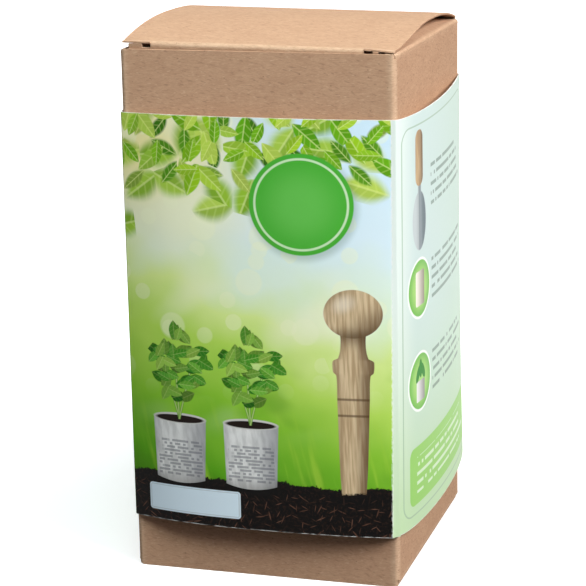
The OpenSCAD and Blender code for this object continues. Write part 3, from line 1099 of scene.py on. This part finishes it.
# %% The cup
RIM_R, CUP_HIGH, CUP_DEEP, RIM_THICK = 34.75, 27.4, 17.4, 6.6
PAPER_ROOM, FOOT_R, FOOT_EDGE = 1.5, 32.75, 0.8
WAIST_R, NECK_ROUND, MOUTH_ROUND = 32.35, 0.5, 0.9
CUP_R = FORMER_R + PAPER_ROOM
rim_z, rim_foot = CUP_HIGH - RIM_THICK / 2, CUP_HIGH - RIM_THICK
cup_floor = CUP_HIGH - CUP_DEEP
outline = [(0, 0.5), (24, 0.4), (27, 0), (FOOT_R, 0)]
outline += arc((FOOT_R, FOOT_EDGE), (FOOT_EDGE, FOOT_EDGE), -75, 0, 4)
outline += [(FOOT_R + 0.3, 8), (FOOT_R - 0.2, 16), (WAIST_R, rim_foot - 1.2)]
outline += arc((WAIST_R, rim_foot - 0.6), (-NECK_ROUND, NECK_ROUND), -70, 70, 5)
outline += arc((RIM_R - RIM_THICK / 2, rim_z), (RIM_THICK / 2, RIM_THICK / 2), -66, 90, 14)
outline += arc((CUP_R + MOUTH_ROUND, CUP_HIGH - MOUTH_ROUND),
               (-MOUTH_ROUND, MOUTH_ROUND), 80, 0, 5)
outline += [(CUP_R, 20), (CUP_R, 14), (CUP_R, cup_floor + 0.5), (CUP_R - 0.5, cup_floor)]
outline += [(20, cup_floor), (10, cup_floor), (0, cup_floor)]
cup = turn_on_lathe("turned_cup", [(r, z + PRESS_Z) for r, z in outline])

# %% [markdown]
# ## Beech
# Beech is a pale, even wood. Its mark is a rain of short brown flecks along the grain, over
# faint bands of growth. A turned piece also keeps very fine rings from the cutting tool. The
# former's grain runs upright and the cup's runs across, because the cup is turned from a
# thick board: the same finish is made twice, with its pattern turned for the cup.

# %% Wood for both pieces
GROWTH, DRIFT, TOOL_RINGS = 1.5, 26.0, 14.0


def beech_finish(name, turned, centre):
    """Bands of growth, flecks and pores along the grain, and rings from the tool."""
    wood = Finish(name, Roughness=0.55, Specular_IOR_Level=0.4)
    own = wood.node("TexCoord").outputs["Object"]
    place = wood.node("Mapping", {
        "Vector": own, "Scale": (1 / MM, 1 / MM, 1 / MM), "Rotation": turned,
        "Location": centre}).outputs[0]
    drift = wood.blotches(place, (20, 20, 80), detail=3.0)
    x, y, _ = wood.split(place)
    far = wood.maths("SQRT", wood.chain(
        "ADD", wood.maths("POWER", x, 2.0), wood.maths("POWER", y, 2.0)))
    rings = wood.maths("SINE", wood.maths(
        "MULTIPLY_ADD", drift, DRIFT, wood.product(far, GROWTH)))
    tone = wood.mix(wood.step(rings, -1.0, 1.0), ink(205, 177, 141), ink(187, 156, 119))
    fleck = wood.blotches(place, (0.38, 0.38, 3.0))
    tone = wood.mix(wood.step(fleck, 0.60, 0.70, high=0.55), tone, ink(150, 112, 78))
    pores = wood.blotches(place, (0.2, 0.2, 5.0), detail=3.0)
    wood.colour(wood.mix(wood.step(pores, 0.3, 0.7, high=0.3), tone, ink(216, 192, 160)))
    tool = wood.maths("SINE", wood.product(wood.split(own)[2], TOOL_RINGS / MM))
    wood.bump(wood.maths("MULTIPLY_ADD", tool, 0.15, wood.product(pores, 0.8)), depth=0.05)
    print(name, "nodes:", len(wood.tree.nodes))
    return wood.material


former.data.materials.append(beech_finish("beech_upright", (0, 0, 0), (9, 60, 0)))
cup.data.materials.append(beech_finish("beech_across", (0, math.radians(90), 0), (34, 45, 0)))
for piece, body, node in ((former, "press_handle", "press_former"),
                          (cup, "press_stand", "press_base")):
    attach(piece, body)
    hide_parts(node)

# %% [markdown]
# ## The sleeve's print
# The print is painted in layers, like a poster: the far garden first, then leaves, soil, pots
# and a wooden dibber, then the plain badge and the bare label. Every layer is a share, 0 where
# the layer is absent and 1 where it covers. The flat map gives the place on the strip in mm:
# the front runs from 0 to 75, the right side to 151, the back to 226 and the left to 302. The
# front and back share one material, and the two side panels have their own.

# %% A finish that paints in layers
class Print(Finish):
    """A finish painted layer over layer on the sleeve's flat map."""

    def __init__(self, name):
        super().__init__(name, Roughness=0.42, Specular_IOR_Level=0.06)
        self.sheet = self.node("UVMap", uv_map="print").outputs[0]
        self.u, self.v = self.split(self.sheet)[:2]
        self.across = self.maths("MODULO", self.u, WIDTH + DEPTH)
        self.tone = WHITE

    def paint(self, share, colour):
        self.tone = self.mix(share, self.tone, colour)

    def report(self, layer):
        print(layer, "painted, nodes so far:", len(self.tree.nodes))

    def join(self, u, v):
        """A place made of two values."""
        return self.node("CombineXYZ", {0: u, 1: v}).outputs[0]

    def cells(self, place, **sockets):
        return self.node("TexVoronoi", {"Vector": place, **sockets}, voronoi_dimensions="2D")

    def which(self, value, size):
        """The number of the step of a given size that a value is in."""
        return self.maths("FLOOR", self.maths("DIVIDE", value, size))

    def within(self, value, size):
        """How far along its step of a given size a value is, 0 to 1."""
        return self.maths("FRACT", self.maths("DIVIDE", value, size))

    def chance(self, place):
        return self.node("TexWhiteNoise", {"Vector": place}, noise_dimensions="2D").outputs[0]

    def oval(self, place, centre, half, turn=0.0, soft=0.05):
        """Share inside an oval, and the place measured in its half sizes."""
        local = self.sized(place, half, turn, centre)
        return self.under(self.vector("LENGTH", local), 1, soft), local

    def to_box(self, place, centre, half, rounded):
        """Distance outside a box that is smaller than its half sizes by the rounding."""
        inner = (half[0] - rounded, half[1] - rounded, 1)
        local = self.vector("ABSOLUTE", self.vector("SUBTRACT", place, (*centre, 0)))
        return self.vector("LENGTH", self.vector(
            "MAXIMUM", self.vector("SUBTRACT", local, inner)))

    def box(self, place, centre, half, rounded, edge, soft=0.1):
        """Share inside a box. Its edge lies that far outside the one that to_box takes."""
        return self.under(self.to_box(place, centre, half, rounded), edge, soft)

    def curve(self, value, points):
        """A smooth curve through points; both numbers run from 0 to 1."""
        made = self.node("FloatCurve", {"Value": value})
        line = made.mapping.curves[0]
        line.points[0].location, line.points[1].location = points[0], points[-1]
        for point in points[1:-1]:
            line.points.new(*point)
        made.mapping.update()
        return made.outputs[0]

    def ramp(self, value, stops):
        """A run of colours, each at its place from 0 to 1."""
        made = self.node("ValToRGB", {0: value})
        elements = made.color_ramp.elements
        elements[0].position, elements[0].color = stops[0]
        elements[1].position, elements[1].color = stops[-1]
        for position, tone in stops[1:-1]:
            elements.new(position).color = tone
        return made.outputs[0]


# A place on the right side: the front's print ends before it, and the back's starts after it
PAST_FRONT = 112
art = Print("sleeve_front_print")
on_front, on_back = art.under(art.u, PAST_FRONT, 0.05), art.over(art.u, PAST_FRONT, 0.05)
print("nodes before the first layer:", len(art.tree.nodes))

# %% [markdown]
# ## The far garden
# The garden is out of focus, so it is only a soft run of colours from soil green to sky. Two
# slow noises bend the run, pale glows and darker bushes break it up, and round spots of light
# stand where the sun comes through.

# %% Painting the garden
wobble = art.maths("MULTIPLY_ADD", art.noise(art.sheet, 0.035, 1.0), 30.0, -15.0)
ripple = art.maths("MULTIPLY_ADD", art.noise(art.sheet, 0.11, 1.0), 9.0, -4.5)
slant = art.maths("MULTIPLY_ADD", art.across, 0.30, -9.0)
height = art.chain("ADD", art.v, wobble, ripple, slant)
GARDEN = (
    (0.00, ink(70, 120, 30)), (0.12, ink(96, 168, 38)), (0.28, ink(140, 200, 60)),
    (0.42, ink(186, 226, 96)), (0.54, ink(222, 244, 150)), (0.66, ink(232, 250, 228)),
    (0.80, ink(226, 246, 255)), (1.00, ink(214, 240, 255)))
art.paint(1.0, art.ramp(art.maths("DIVIDE", height, SLEEVE_HIGH), GARDEN))
sun, _ = art.oval(art.sheet, (5, 106), (26, 20), turn=-20, soft=0.98)
art.paint(art.product(sun, 0.85), ink(255, 240, 150))
glow = art.step(art.blotches(art.sheet, (34, 24), 20, detail=1.0), 0.50, 0.72, high=0.7)
art.paint(art.product(glow, art.step(art.v, 22, 50)), ink(252, 255, 220))
bush = art.step(art.blotches(art.sheet, (20, 15), -15), 0.50, 0.70)
art.paint(art.product(bush, art.step(art.v, 56, 26), 0.65), ink(88, 150, 40))
blade = art.step(art.blotches(art.sheet, (3.0, 26), 12), 0.50, 0.72)
art.paint(art.product(blade, art.step(art.v, 40, 20), 0.6), ink(172, 214, 72))
for cell, centre, strength in ((13, (4, 2), 0.40), (8, (1, 5), 0.35)):
    spots = art.cells(art.sized(art.sheet, (cell, cell), 0, centre), Scale=1.0, Randomness=0.8)
    luck = art.channels(spots.outputs["Color"])[0]
    spot = art.step(spots.outputs["Distance"], 0.31, 0.25)
    art.paint(art.product(spot, art.step(luck, 0.5, 0.52), strength,
                          art.step(art.v, 34, 60)), ink(250, 255, 214))
art.report("garden")

# %% [markdown]
# ## Leaves
# A Voronoi texture scatters points, and tells each place which point is nearest. Measured
# from that point and turned by its random colour, the place falls inside a leaf shape or
# outside it. A leaf is kept or dropped by where its point lies, so no leaf is cut in half.

# %% Scattered leaves
def scatter_leaves(place, cell, centre, wanted, tones, half=(0.50, 0.21), soft=0.06,
                   veined=1.0):
    """Paints leaves where wanted(point in mm) is 1. Half sizes are shares of the cell."""
    grid = art.sized(place, (cell, cell), 0, centre)
    points = art.cells(grid, Scale=1.0, Randomness=0.75)
    found = points.outputs["Position"]
    turn, mood, bright = art.channels(points.outputs["Color"])
    spun = art.node("VectorRotate", {
        "Vector": art.vector("SUBTRACT", grid, found),
        "Angle": art.product(turn, math.tau)}, rotation_type="Z_AXIS").outputs[0]
    along, side = art.split(art.vector("DIVIDE", spun, (*half, 1)))[:2]
    width = art.maths("ABSOLUTE", side)
    edge = art.maths("ADD", width, art.maths("POWER", along, 2.0))
    share = art.under(edge, 1, soft)
    in_mm = art.vector("ADD", art.vector("MULTIPLY", found, (cell, cell, 1)), (*centre, 0))
    tone = art.mix(mood, *tones)
    tone = art.mix(art.step(side, -0.1, 0.1, high=0.35 if veined else 0.0), tone,
                   ink(60, 118, 24))
    veins = art.maths("SINE", art.maths("MULTIPLY_ADD", width, 5.0, art.product(along, -16.0)))
    tone = art.mix(art.step(veins, 0.5, 1.0, high=0.22 * veined), tone, ink(226, 240, 140))
    tone = art.mix(art.step(width, 0.13, 0.03, high=0.6 * veined), tone, ink(222, 238, 150))
    tone = art.mix(art.step(bright, 0.55, 0.9, high=0.45 * veined), tone, ink(232, 244, 120))
    art.paint(art.product(share, wanted(in_mm)), tone)


def canopy(low):
    """Keeps the leaves that hang above a ragged line, lower at the left."""
    def wanted(point):
        u, v, _ = art.split(point)
        ragged = art.maths("MULTIPLY_ADD", art.noise(point, 0.045, 1.0), -36.0, low + 18)
        slant = art.maths("MULTIPLY_ADD", art.maths("MODULO", u, WIDTH + DEPTH), 0.16, -6.0)
        return art.over(art.minus(v, art.maths("ADD", ragged, slant)), 0)
    return wanted


scatter_leaves(art.sheet, 10, (3, 2), canopy(92), (ink(150, 195, 60), ink(186, 216, 92)),
               half=(0.62, 0.34), soft=0.5)
scatter_leaves(art.sheet, 8, (1, 6), canopy(97), (ink(58, 108, 30), ink(98, 160, 40)),
               soft=0.25)
scatter_leaves(art.sheet, 9, (6, 1), canopy(98), (ink(96, 170, 34), ink(160, 208, 44)),
               half=(0.56, 0.24), soft=0.08)
scatter_leaves(art.sheet, 7, (2, 4), canopy(102), (ink(110, 180, 36), ink(176, 216, 56)))
art.report("leaves")

# %% [markdown]
# The soil is nearly black, with lighter crumbs. A noise gives it a ragged upper line, and the
# leaf maker scatters thin straws in it, without veins.

# %% The soil at the foot
STRAWS_UP_TO = 10.5
crumbs = art.noise(art.sheet, 1.3, 4.0, 0.7)
soil_line = art.maths("MULTIPLY_ADD", art.noise(art.sheet, 0.08, 3.0), 7.0, 9.0)
soil_line = art.maths("MULTIPLY_ADD", crumbs, 2.5, soil_line)
clods = art.cells(art.sheet, Scale=0.85)
earth = art.mix(art.step(crumbs, 0.45, 0.74), ink(10, 8, 8), ink(50, 36, 30))
earth = art.mix(art.step(clods.outputs["Distance"], 0.35, 0.75, high=0.8), earth,
                ink(8, 6, 7))
art.paint(art.under(art.minus(art.v, soil_line), 0, 0.25), earth)


def buried(point):
    """Keeps the straws whose points lie in the soil."""
    return art.under(art.split(point)[1], STRAWS_UP_TO)


for cell, centre in ((3.4, (1, 2)), (2.6, (2, 1))):
    scatter_leaves(art.sheet, cell, centre, buried, (ink(26, 19, 17), ink(100, 72, 60)),
                   half=(0.40, 0.05), soft=0.5, veined=0.0)
art.report("soil")

# %% [markdown]
# ## Paper pots and a dibber
# Two pots are one picture, repeated by a modulo. A pot is lit like a cylinder, and broken grey
# rows stand for the old newsprint that it is rolled from. Its seedling is three thin stems
# under a crown of scattered leaves.

# %% The shape of two paper pots
POT_STEP, POT_FIRST, POT_R = 20.5, 4.5, 7.6
POT_FOOT, POT_TOP = 11.5, 30.0
POT_LAST = POT_FIRST + 2 * POT_STEP
local_u = art.minus(art.maths("MODULO", art.minus(art.u, POT_FIRST), POT_STEP), POT_STEP / 2)
pots_here = art.product(art.over(art.u, POT_FIRST, 0.01), art.under(art.u, POT_LAST, 0.01))
pot_place = art.join(local_u, art.v)
off_axis = art.maths("ABSOLUTE", local_u)
taper = art.maths("MULTIPLY_ADD", art.v, 0.035, POT_R - 0.9)
body = art.product(
    art.under(art.minus(off_axis, taper), 0, 0.12),
    art.over(art.maths("MULTIPLY_ADD", art.maths("POWER", off_axis, 2.0), -0.024, art.v),
             POT_FOOT),
    art.under(art.v, POT_TOP), pots_here)
shadow, _ = art.oval(pot_place, (1.0, POT_FOOT), (9.5, 1.8), soft=0.5)
art.paint(art.product(shadow, pots_here, 0.8), ink(10, 8, 8))
art.report("shadow of the pots")

# %% Newsprint on the pots
LINE_PITCH, WORD_WIDE = 0.95, 0.8
PRINT_HALF, PRINT_FOOT, PRINT_TOP = 6.5, 13.5, 24
crinkle = art.blotches(art.sheet, (1.6, 6.0), 8, detail=3.0)
paper = art.mix(art.step(crinkle, 0.35, 0.65), ink(214, 214, 212), ink(240, 240, 238))
row = art.within(art.v, LINE_PITCH)
letters = art.chance(art.join(art.which(local_u, WORD_WIDE), art.which(art.v, LINE_PITCH)))
printed = art.product(
    art.step(row, 0.25, 0.4), art.over(letters, 0.30, 0.02), 0.62,
    art.under(off_axis, PRINT_HALF), art.over(art.v, PRINT_FOOT), art.under(art.v, PRINT_TOP))
paper = art.mix(printed, paper, ink(120, 122, 128))
paper = art.mix(art.step(local_u, -1.0, 8.2, high=0.62), paper, ink(104, 106, 116))
paper = art.mix(art.step(local_u, -5.0, -7.8, high=0.4), paper, ink(128, 128, 134))
paper = art.mix(art.step(art.v, 16.0, POT_FOOT, high=0.45), paper, ink(92, 86, 80))
art.paint(body, paper)
rim, _ = art.oval(pot_place, (0, POT_TOP), (7.75, 1.5), soft=0.06)
art.paint(art.product(rim, pots_here), ink(216, 214, 208))
mouth, _ = art.oval(pot_place, (0, POT_TOP - 0.15), (7.1, 1.05), soft=0.1)
art.paint(art.product(mouth, pots_here), ink(30, 22, 18))
art.report("pots")

# %% Seedlings in the pots
for slope in (-0.28, -0.05, 0.26):
    off = art.gap(local_u, art.product(art.minus(art.v, POT_TOP), slope))
    stem = art.product(art.step(off, 0.42, 0.25), art.step(art.v, POT_TOP - 0.4, POT_TOP),
                       art.step(art.v, 46, 44), pots_here)
    art.paint(stem, art.mix(art.step(off, 0.3, 0.0), ink(96, 150, 60), ink(190, 216, 130)))


def crown(centre, half):
    """Keeps the leaves whose points lie in an oval over the pot."""
    def wanted(point):
        return art.product(art.oval(point, centre, half, soft=0.002)[0], pots_here)
    return wanted


scatter_leaves(pot_place, 4.2, (1, 2), crown((0, 45), (8.6, 9.5)),
               (ink(28, 84, 24), ink(66, 134, 40)), half=(0.62, 0.36), soft=0.12, veined=0.2)
scatter_leaves(pot_place, 4.8, (3, 1), crown((0.3, 45), (8.2, 10.0)),
               (ink(44, 116, 34), ink(92, 168, 56)), half=(0.58, 0.30), veined=0.35)
scatter_leaves(pot_place, 4.0, (2, 4), crown((-0.4, 46), (8.0, 9.5)),
               (ink(52, 132, 44), ink(112, 184, 66)), half=(0.55, 0.30), veined=0.4)
scatter_leaves(pot_place, 5.6, (2.5, 3), crown((0, 46), (7.6, 9.0)),
               (ink(58, 140, 40), ink(132, 198, 76)), half=(0.46, 0.22), veined=0.5)
art.report("seedlings")

# %% [markdown]
# The dibber is a pointed round stick with a knob, stuck in the soil. A curve gives its half
# width at every height, and the wood is lit from the left by how far round the stick a place
# lies. The knob is an oval, lit along a slope.

# %% Painting the dibber
DIBBER_U, DIBBER_R, DIBBER_HIGH = 63.5, 10.0, 75.0
PROFILE = ((0, 0.10), (0.12, 0.30), (0.50, 0.43), (0.60, 0.45), (0.615, 0.54), (0.65, 0.55),
           (0.665, 0.40), (0.72, 0.33), (0.78, 0.36), (1, 0.36))
RINGS, KNOB_V, KNOB_HALF = (34.0, 38.5), 62.0, (7.8, 6.6)
stick_u = art.minus(art.u, DIBBER_U)
radius = art.product(DIBBER_R, art.curve(art.maths("DIVIDE", art.v, DIBBER_HIGH), PROFILE))
outside = art.minus(art.maths("ABSOLUTE", stick_u), radius)
turned = art.maths("DIVIDE", stick_u, art.maths("MAXIMUM", radius, 0.2))
grain = art.blotches(art.sheet, (0.8, 12.0), 2)


def round_wood(lit, low):
    """Wood that is lit from the left: lit is 0 in the middle and 1 at the right edge."""
    tone = art.mix(art.step(grain, 0.35, 0.65), ink(186, 158, 122), ink(222, 198, 160))
    tone = art.mix(art.step(lit, -0.1, 1.05, high=0.85), tone, ink(96, 74, 52))
    tone = art.mix(art.step(lit, -0.55, -1.05, high=0.5), tone, ink(136, 110, 80))
    return art.mix(low, tone, ink(88, 68, 48))


under_knob = art.product(art.step(art.v, 51, 57), art.step(art.v, 60, 59), 0.8)
timber = round_wood(turned, under_knob)
for ring in RINGS:
    timber = art.mix(art.step(art.gap(art.v, ring), 0.5, 0.15, high=0.7), timber,
                     ink(84, 62, 44))
standing = art.product(
    on_front, art.under(outside, 0, 0.12), art.step(art.v, KNOB_V, KNOB_V - 0.1),
    art.step(art.minus(art.v, soil_line), -2.2, -1.4))
cast, _ = art.oval(art.sheet, (DIBBER_U + 1, 10.5), (8, 1.8), soft=0.6)
art.paint(art.product(cast, on_front, 0.75), ink(8, 6, 7))
art.paint(standing, timber)

knob, knob_place = art.oval(art.sheet, (DIBBER_U, KNOB_V), KNOB_HALF, soft=0.015)
knob_u, knob_v = art.split(knob_place)[:2]
slope = art.maths("MULTIPLY_ADD", knob_v, -0.75, art.product(knob_u, 0.65))
wood = round_wood(slope, art.step(knob_v, -0.45, -1.0, high=0.6))
gleam, _ = art.oval(art.sheet, (DIBBER_U - 2.4, KNOB_V + 2.6), (2.6, 1.8), turn=25, soft=0.8)
art.paint(art.product(knob, on_front), art.mix(art.product(gleam, 0.5), wood,
                                               ink(250, 240, 220)))
art.report("dibber")

# %% [markdown]
# ## Badge, label and the back
# The badge is a plain green disc with a pale ring, and the label a bare pale box. Each throws
# no more than a faint shadow or outline, so they look printed and not stuck on. The back has
# a pale card with three blocks of broken bars, which stand for lines of text.

# %% The badge and the label on the front
BADGE, BADGE_HALF, SHADE, SHADE_HALF = (50, 91), (14, 13.6), (50.6, 90.2), (14.6, 14.2)
LABEL, LABEL_HALF, LABEL_ROUND = (18.5, 6.6), (13.5, 3.9), 0.9
shade, _ = art.oval(art.sheet, SHADE, SHADE_HALF, soft=0.10)
art.paint(art.product(shade, on_front, 0.35), ink(70, 110, 60))
disc, spot_place = art.oval(art.sheet, BADGE, BADGE_HALF, soft=0.012)
from_middle = art.vector("LENGTH", spot_place)
green = art.mix(art.step(from_middle, 0.2, 1.0), ink(104, 194, 84), ink(78, 176, 60))
green = art.mix(art.product(art.over(from_middle, 0.87, 0.01), art.under(
    from_middle, 0.915, 0.01)), green, ink(206, 236, 190))
art.paint(art.product(disc, on_front), green)
border = art.to_box(art.sheet, LABEL, LABEL_HALF, LABEL_ROUND)
art.paint(art.product(art.under(border, LABEL_ROUND, 0.08), on_front), ink(226, 244, 255))
art.paint(art.product(art.step(art.gap(border, LABEL_ROUND / 2), 0.22, 0.1, high=0.5),
                      on_front), ink(178, 190, 194))
art.report("badge and label")

# %% Rows of broken bars, and the back panel
BAR_PITCH, BAR_LETTER, RAGGED = 2.6, 1.3, 12.0
CARD, CARD_HALF, CARD_ROUND = (WIDTH / 2, 58), (30, 34), 4.0
BLOCK_HALF, TEXT_EDGE = (25, 7.8), 0.1


def bars(design, place, longest):
    """Share on rows of broken bars. Longest is where the rows end, in mm."""
    u, v, _ = design.split(place)
    row, column = design.which(v, BAR_PITCH), design.which(u, BAR_LETTER)
    luck = design.chance(design.join(column, row))
    end = design.node("TexWhiteNoise", {"W": row}, noise_dimensions="1D").outputs[0]
    end = design.maths("MULTIPLY_ADD", end, -RAGGED, longest)
    tall = design.gap(design.within(v, BAR_PITCH), 0.5)
    return design.product(design.over(luck, 0.18, 0.01), design.under(tall, 0.19, 0.05),
                          design.under(design.minus(u, end), 0))


back_place = art.vector("SUBTRACT", art.sheet, (WIDTH + DEPTH, 0, 0))
card = art.to_box(back_place, CARD, CARD_HALF, CARD_ROUND)
art.paint(art.product(on_back, art.step(card, 5.4, 3.6, high=0.35)), ink(70, 110, 60))
art.paint(art.product(on_back, art.under(card, CARD_ROUND)), ink(244, 248, 242))
for block_v in (80, 58, 36):
    block = art.box(back_place, (WIDTH / 2, block_v), BLOCK_HALF, TEXT_EDGE, TEXT_EDGE, 0.05)
    art.paint(art.product(on_back, block, bars(art, back_place, 62), 0.6), ink(78, 100, 84))
art.report("back")

# %% [markdown]
# ## The side panels
# Each side panel is pale and framed by a thin line. Broken grey bars stand for the lines of an
# instruction. Beside them are a trowel and two round pictures: a roll of paper and a pot with
# a plant. Everything round is lit from the left, like the dibber.

# %% The ground, the frame and the lines of text
PANEL_U, TEXT_U, PICTURE_U = 38, 46, 14
FRAME_HALF, FRAME_ROUND, TEXT_HALF = (34.8, 53.6), 4.0, (22, 6.5)
PICTURES, PICTURE_R = (66, 40), 8.4
sides = Print("sleeve_side_print")
side_u = sides.minus(sides.across, FOLD_U)
side_place = sides.join(side_u, sides.v)
sides.tone = sides.mix(sides.step(side_u, 4, 76), ink(206, 223, 219), ink(198, 220, 206))
sides.paint(sides.step(side_u, 12, 0, high=0.7), ink(232, 240, 232))
sides.paint(sides.step(sides.v, 74, -10, high=0.85), ink(184, 214, 158))
line = sides.gap(sides.to_box(
    side_place, (PANEL_U, SLEEVE_HIGH / 2), FRAME_HALF, FRAME_ROUND), FRAME_ROUND)
sides.paint(sides.step(line, 0.28, 0.14, high=0.7), ink(150, 178, 150))
writing = bars(sides, side_place, 68)
for block_v in (92, *PICTURES):
    block = sides.box(side_place, (TEXT_U, block_v), TEXT_HALF, TEXT_EDGE, TEXT_EDGE, 0.05)
    sides.paint(sides.product(block, writing, 0.62), ink(74, 98, 80))
    if block_v in PICTURES:
        disc, local = sides.oval(
            side_place, (PICTURE_U, block_v), (PICTURE_R, PICTURE_R), soft=0.02)
        away = sides.vector("LENGTH", local)
        tone = sides.mix(sides.step(away, 0.4, 1.0), ink(168, 212, 120), ink(110, 178, 76))
        tone = sides.mix(sides.step(away, 0.90, 0.93), tone, ink(246, 250, 244))
        sides.paint(disc, tone)
sides.report("ground and text")


# %% The two round pictures
def rounded(bright, dark):
    """A tone that is bright at the left of a picture and dark at its right."""
    return sides.mix(sides.step(side_u, 10.5, 17.5), bright, dark)


roll = sides.box(side_place, (PICTURE_U, 66), (3.2, 4.8), 0.8, 0.8)
sides.paint(roll, rounded(ink(246, 240, 226), ink(150, 140, 124)))
pot = sides.box(side_place, (PICTURE_U, 37.4), (3.0, 2.9), 0.4, 0.4)
sides.paint(pot, rounded(ink(236, 234, 230), ink(146, 142, 138)))
for turn, centre in ((60, (12.2, 42.4)), (120, (15.8, 42.6)), (90, (PICTURE_U, 43.6))):
    leaf, _ = sides.oval(side_place, centre, (2.6, 1.1), turn=turn, soft=0.1)
    sides.paint(leaf, ink(48, 128, 42))
sides.report("round pictures")

# %% The trowel, and the note at the foot
NOTE = (PANEL_U, 14)
blade, _ = sides.oval(side_place, (PICTURE_U, 84.5), (5.0, 8.0), soft=0.03)
collar = sides.box(side_place, (PICTURE_U, 92.5), (1.3, 3.0), 0.5, 0.4)
steel = rounded(ink(196, 204, 204), ink(104, 116, 122))
steel = sides.mix(sides.step(sides.gap(side_u, PICTURE_U), 0.9, 0.2, high=0.4), steel,
                  ink(84, 94, 100))
handle = sides.box(side_place, (PICTURE_U, 101.5), (2.9, 7.6), 2.6, 2.5)
grain = sides.blotches(sides.sheet, (0.6, 9.0), 2)
wood = sides.mix(sides.step(grain, 0.35, 0.65), ink(170, 138, 102), ink(200, 170, 130))
wood = sides.mix(sides.step(side_u, 12.6, 17.2, high=0.8), wood, ink(84, 64, 44))
for share, tone in ((blade, steel), (collar, steel), (handle, wood)):
    sides.paint(share, tone)
sides.paint(sides.box(side_place, NOTE, (31.5, 8.2), 2.5, 2.5), ink(150, 202, 104))
note = sides.box(side_place, NOTE, (27, 5.2), TEXT_EDGE, TEXT_EDGE, 0.05)
sides.paint(sides.product(note, writing, 0.7), ink(232, 244, 222))
sides.report("trowel and note")

# %% [markdown]
# ## Varnish and worn edges
# Coated paper has a thin varnish, which shines a little. Where the sheet is folded or its cut
# edge is rubbed, the varnish and the print come off and the white paper shows. Inside, the
# paper is plain. Solidify gives the sheet its thickness, and moves the inner face and the cut
# edge on to the plain paper.

# %% Closing the print, and plain paper inside
def varnish(design):
    """Shows the paper's white on the worn fold and cut edges, and closes the print."""
    fibre = design.blotches(design.sheet, (0.35, 1.2), detail=3.0)
    fold = design.gap(design.across, FOLD_U)
    design.paint(design.product(design.step(fold, 0.35, 0.1), design.step(
        fibre, 0.4, 0.62, high=0.5)), ink(248, 248, 246))
    ends = design.minus(SLEEVE_HIGH / 2, design.gap(design.v, SLEEVE_HIGH / 2))
    scuff = design.blotches(design.sheet, (2.2, 0.5), detail=3.0)
    design.paint(design.product(design.step(ends, 0.26, 0.1), design.step(
        scuff, 0.38, 0.6, high=0.7)), ink(244, 244, 240))
    design.colour(design.tone)
    design.feed(design.surface.inputs["Roughness"], design.step(fibre, 0.2, 0.8, 0.34, 0.46))
    design.bump(fibre, depth=0.02)
    design.report("wear")
    return design.material


plain = Finish("sleeve_paper", Roughness=0.7, Specular_IOR_Level=0.2)
pulp = plain.noise(plain.node("TexCoord").outputs["Object"], 1800.0, 3.0)
plain.colour(plain.mix(plain.step(pulp, 0.35, 0.65), ink(236, 236, 230), ink(248, 248, 244)))
plain.bump(pulp, depth=0.02)
for material in (varnish(art), varnish(sides), plain.material):
    sleeve.data.materials.append(material)

# %% Thickness of the sleeve
modify(sleeve, "SOLIDIFY", thickness=PAPER * MM, offset=0.0, use_even_offset=True,
       material_offset=2, material_offset_rim=2)
smooth(sleeve, ROUND_SMOOTH)
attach(sleeve, "sleeve")
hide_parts("sleeve_front", "sleeve_right", "sleeve_back", "sleeve_left",
            "sleeve_seam_lap")
print("sleeve faces:", len(sleeve.data.polygons))

# %% [markdown]
# ## The room
# The photograph's ground is pure white. A real floor as bright as that would light the carton
# from below, so this one shines only for the camera, and in reflections. Other rays meet a
# dark floor. The shine fades under the carton, so that a soft shadow stays. The air round the
# scene is made in the same way: white to look at, and a weak even light.

# %% Floor and air
FLOOR_SIZE, FADE_FROM, FADE_TO, FADE_LOW = 4.0, 0.06, 0.22, 0.35
AMBIENT = (0.084, 0.076, 0.079, 1)
bpy.ops.mesh.primitive_plane_add(size=FLOOR_SIZE, location=(0, 0, 0))
floor = bpy.context.object
floor.name = "floor"
table = Finish("studio_floor", Roughness=0.9, Emission_Color=WHITE)
seen = table.seen()
place = table.node("TexCoord").outputs["Object"]
pale = table.mix(table.noise(place, 60.0, detail=3.0), ink(240, 240, 240), ink(246, 246, 246))
table.colour(table.mix(seen, ink(43, 41, 41), pale))
far = table.step(table.vector("LENGTH", place), FADE_FROM, FADE_TO, low=FADE_LOW)
table.feed(table.surface.inputs["Emission Strength"], table.product(seen, far))
floor.data.materials.append(table.material)

world = bpy.data.worlds.new("studio")
bpy.context.scene.world = world
world.use_nodes = True
air = Shading(world.node_tree)
backdrop = world.node_tree.nodes["Background"]
air.feed(backdrop.inputs["Color"], air.mix(air.seen(), AMBIENT, WHITE))
print("floor of", FLOOR_SIZE, "m, with", len(table.tree.nodes), "nodes")
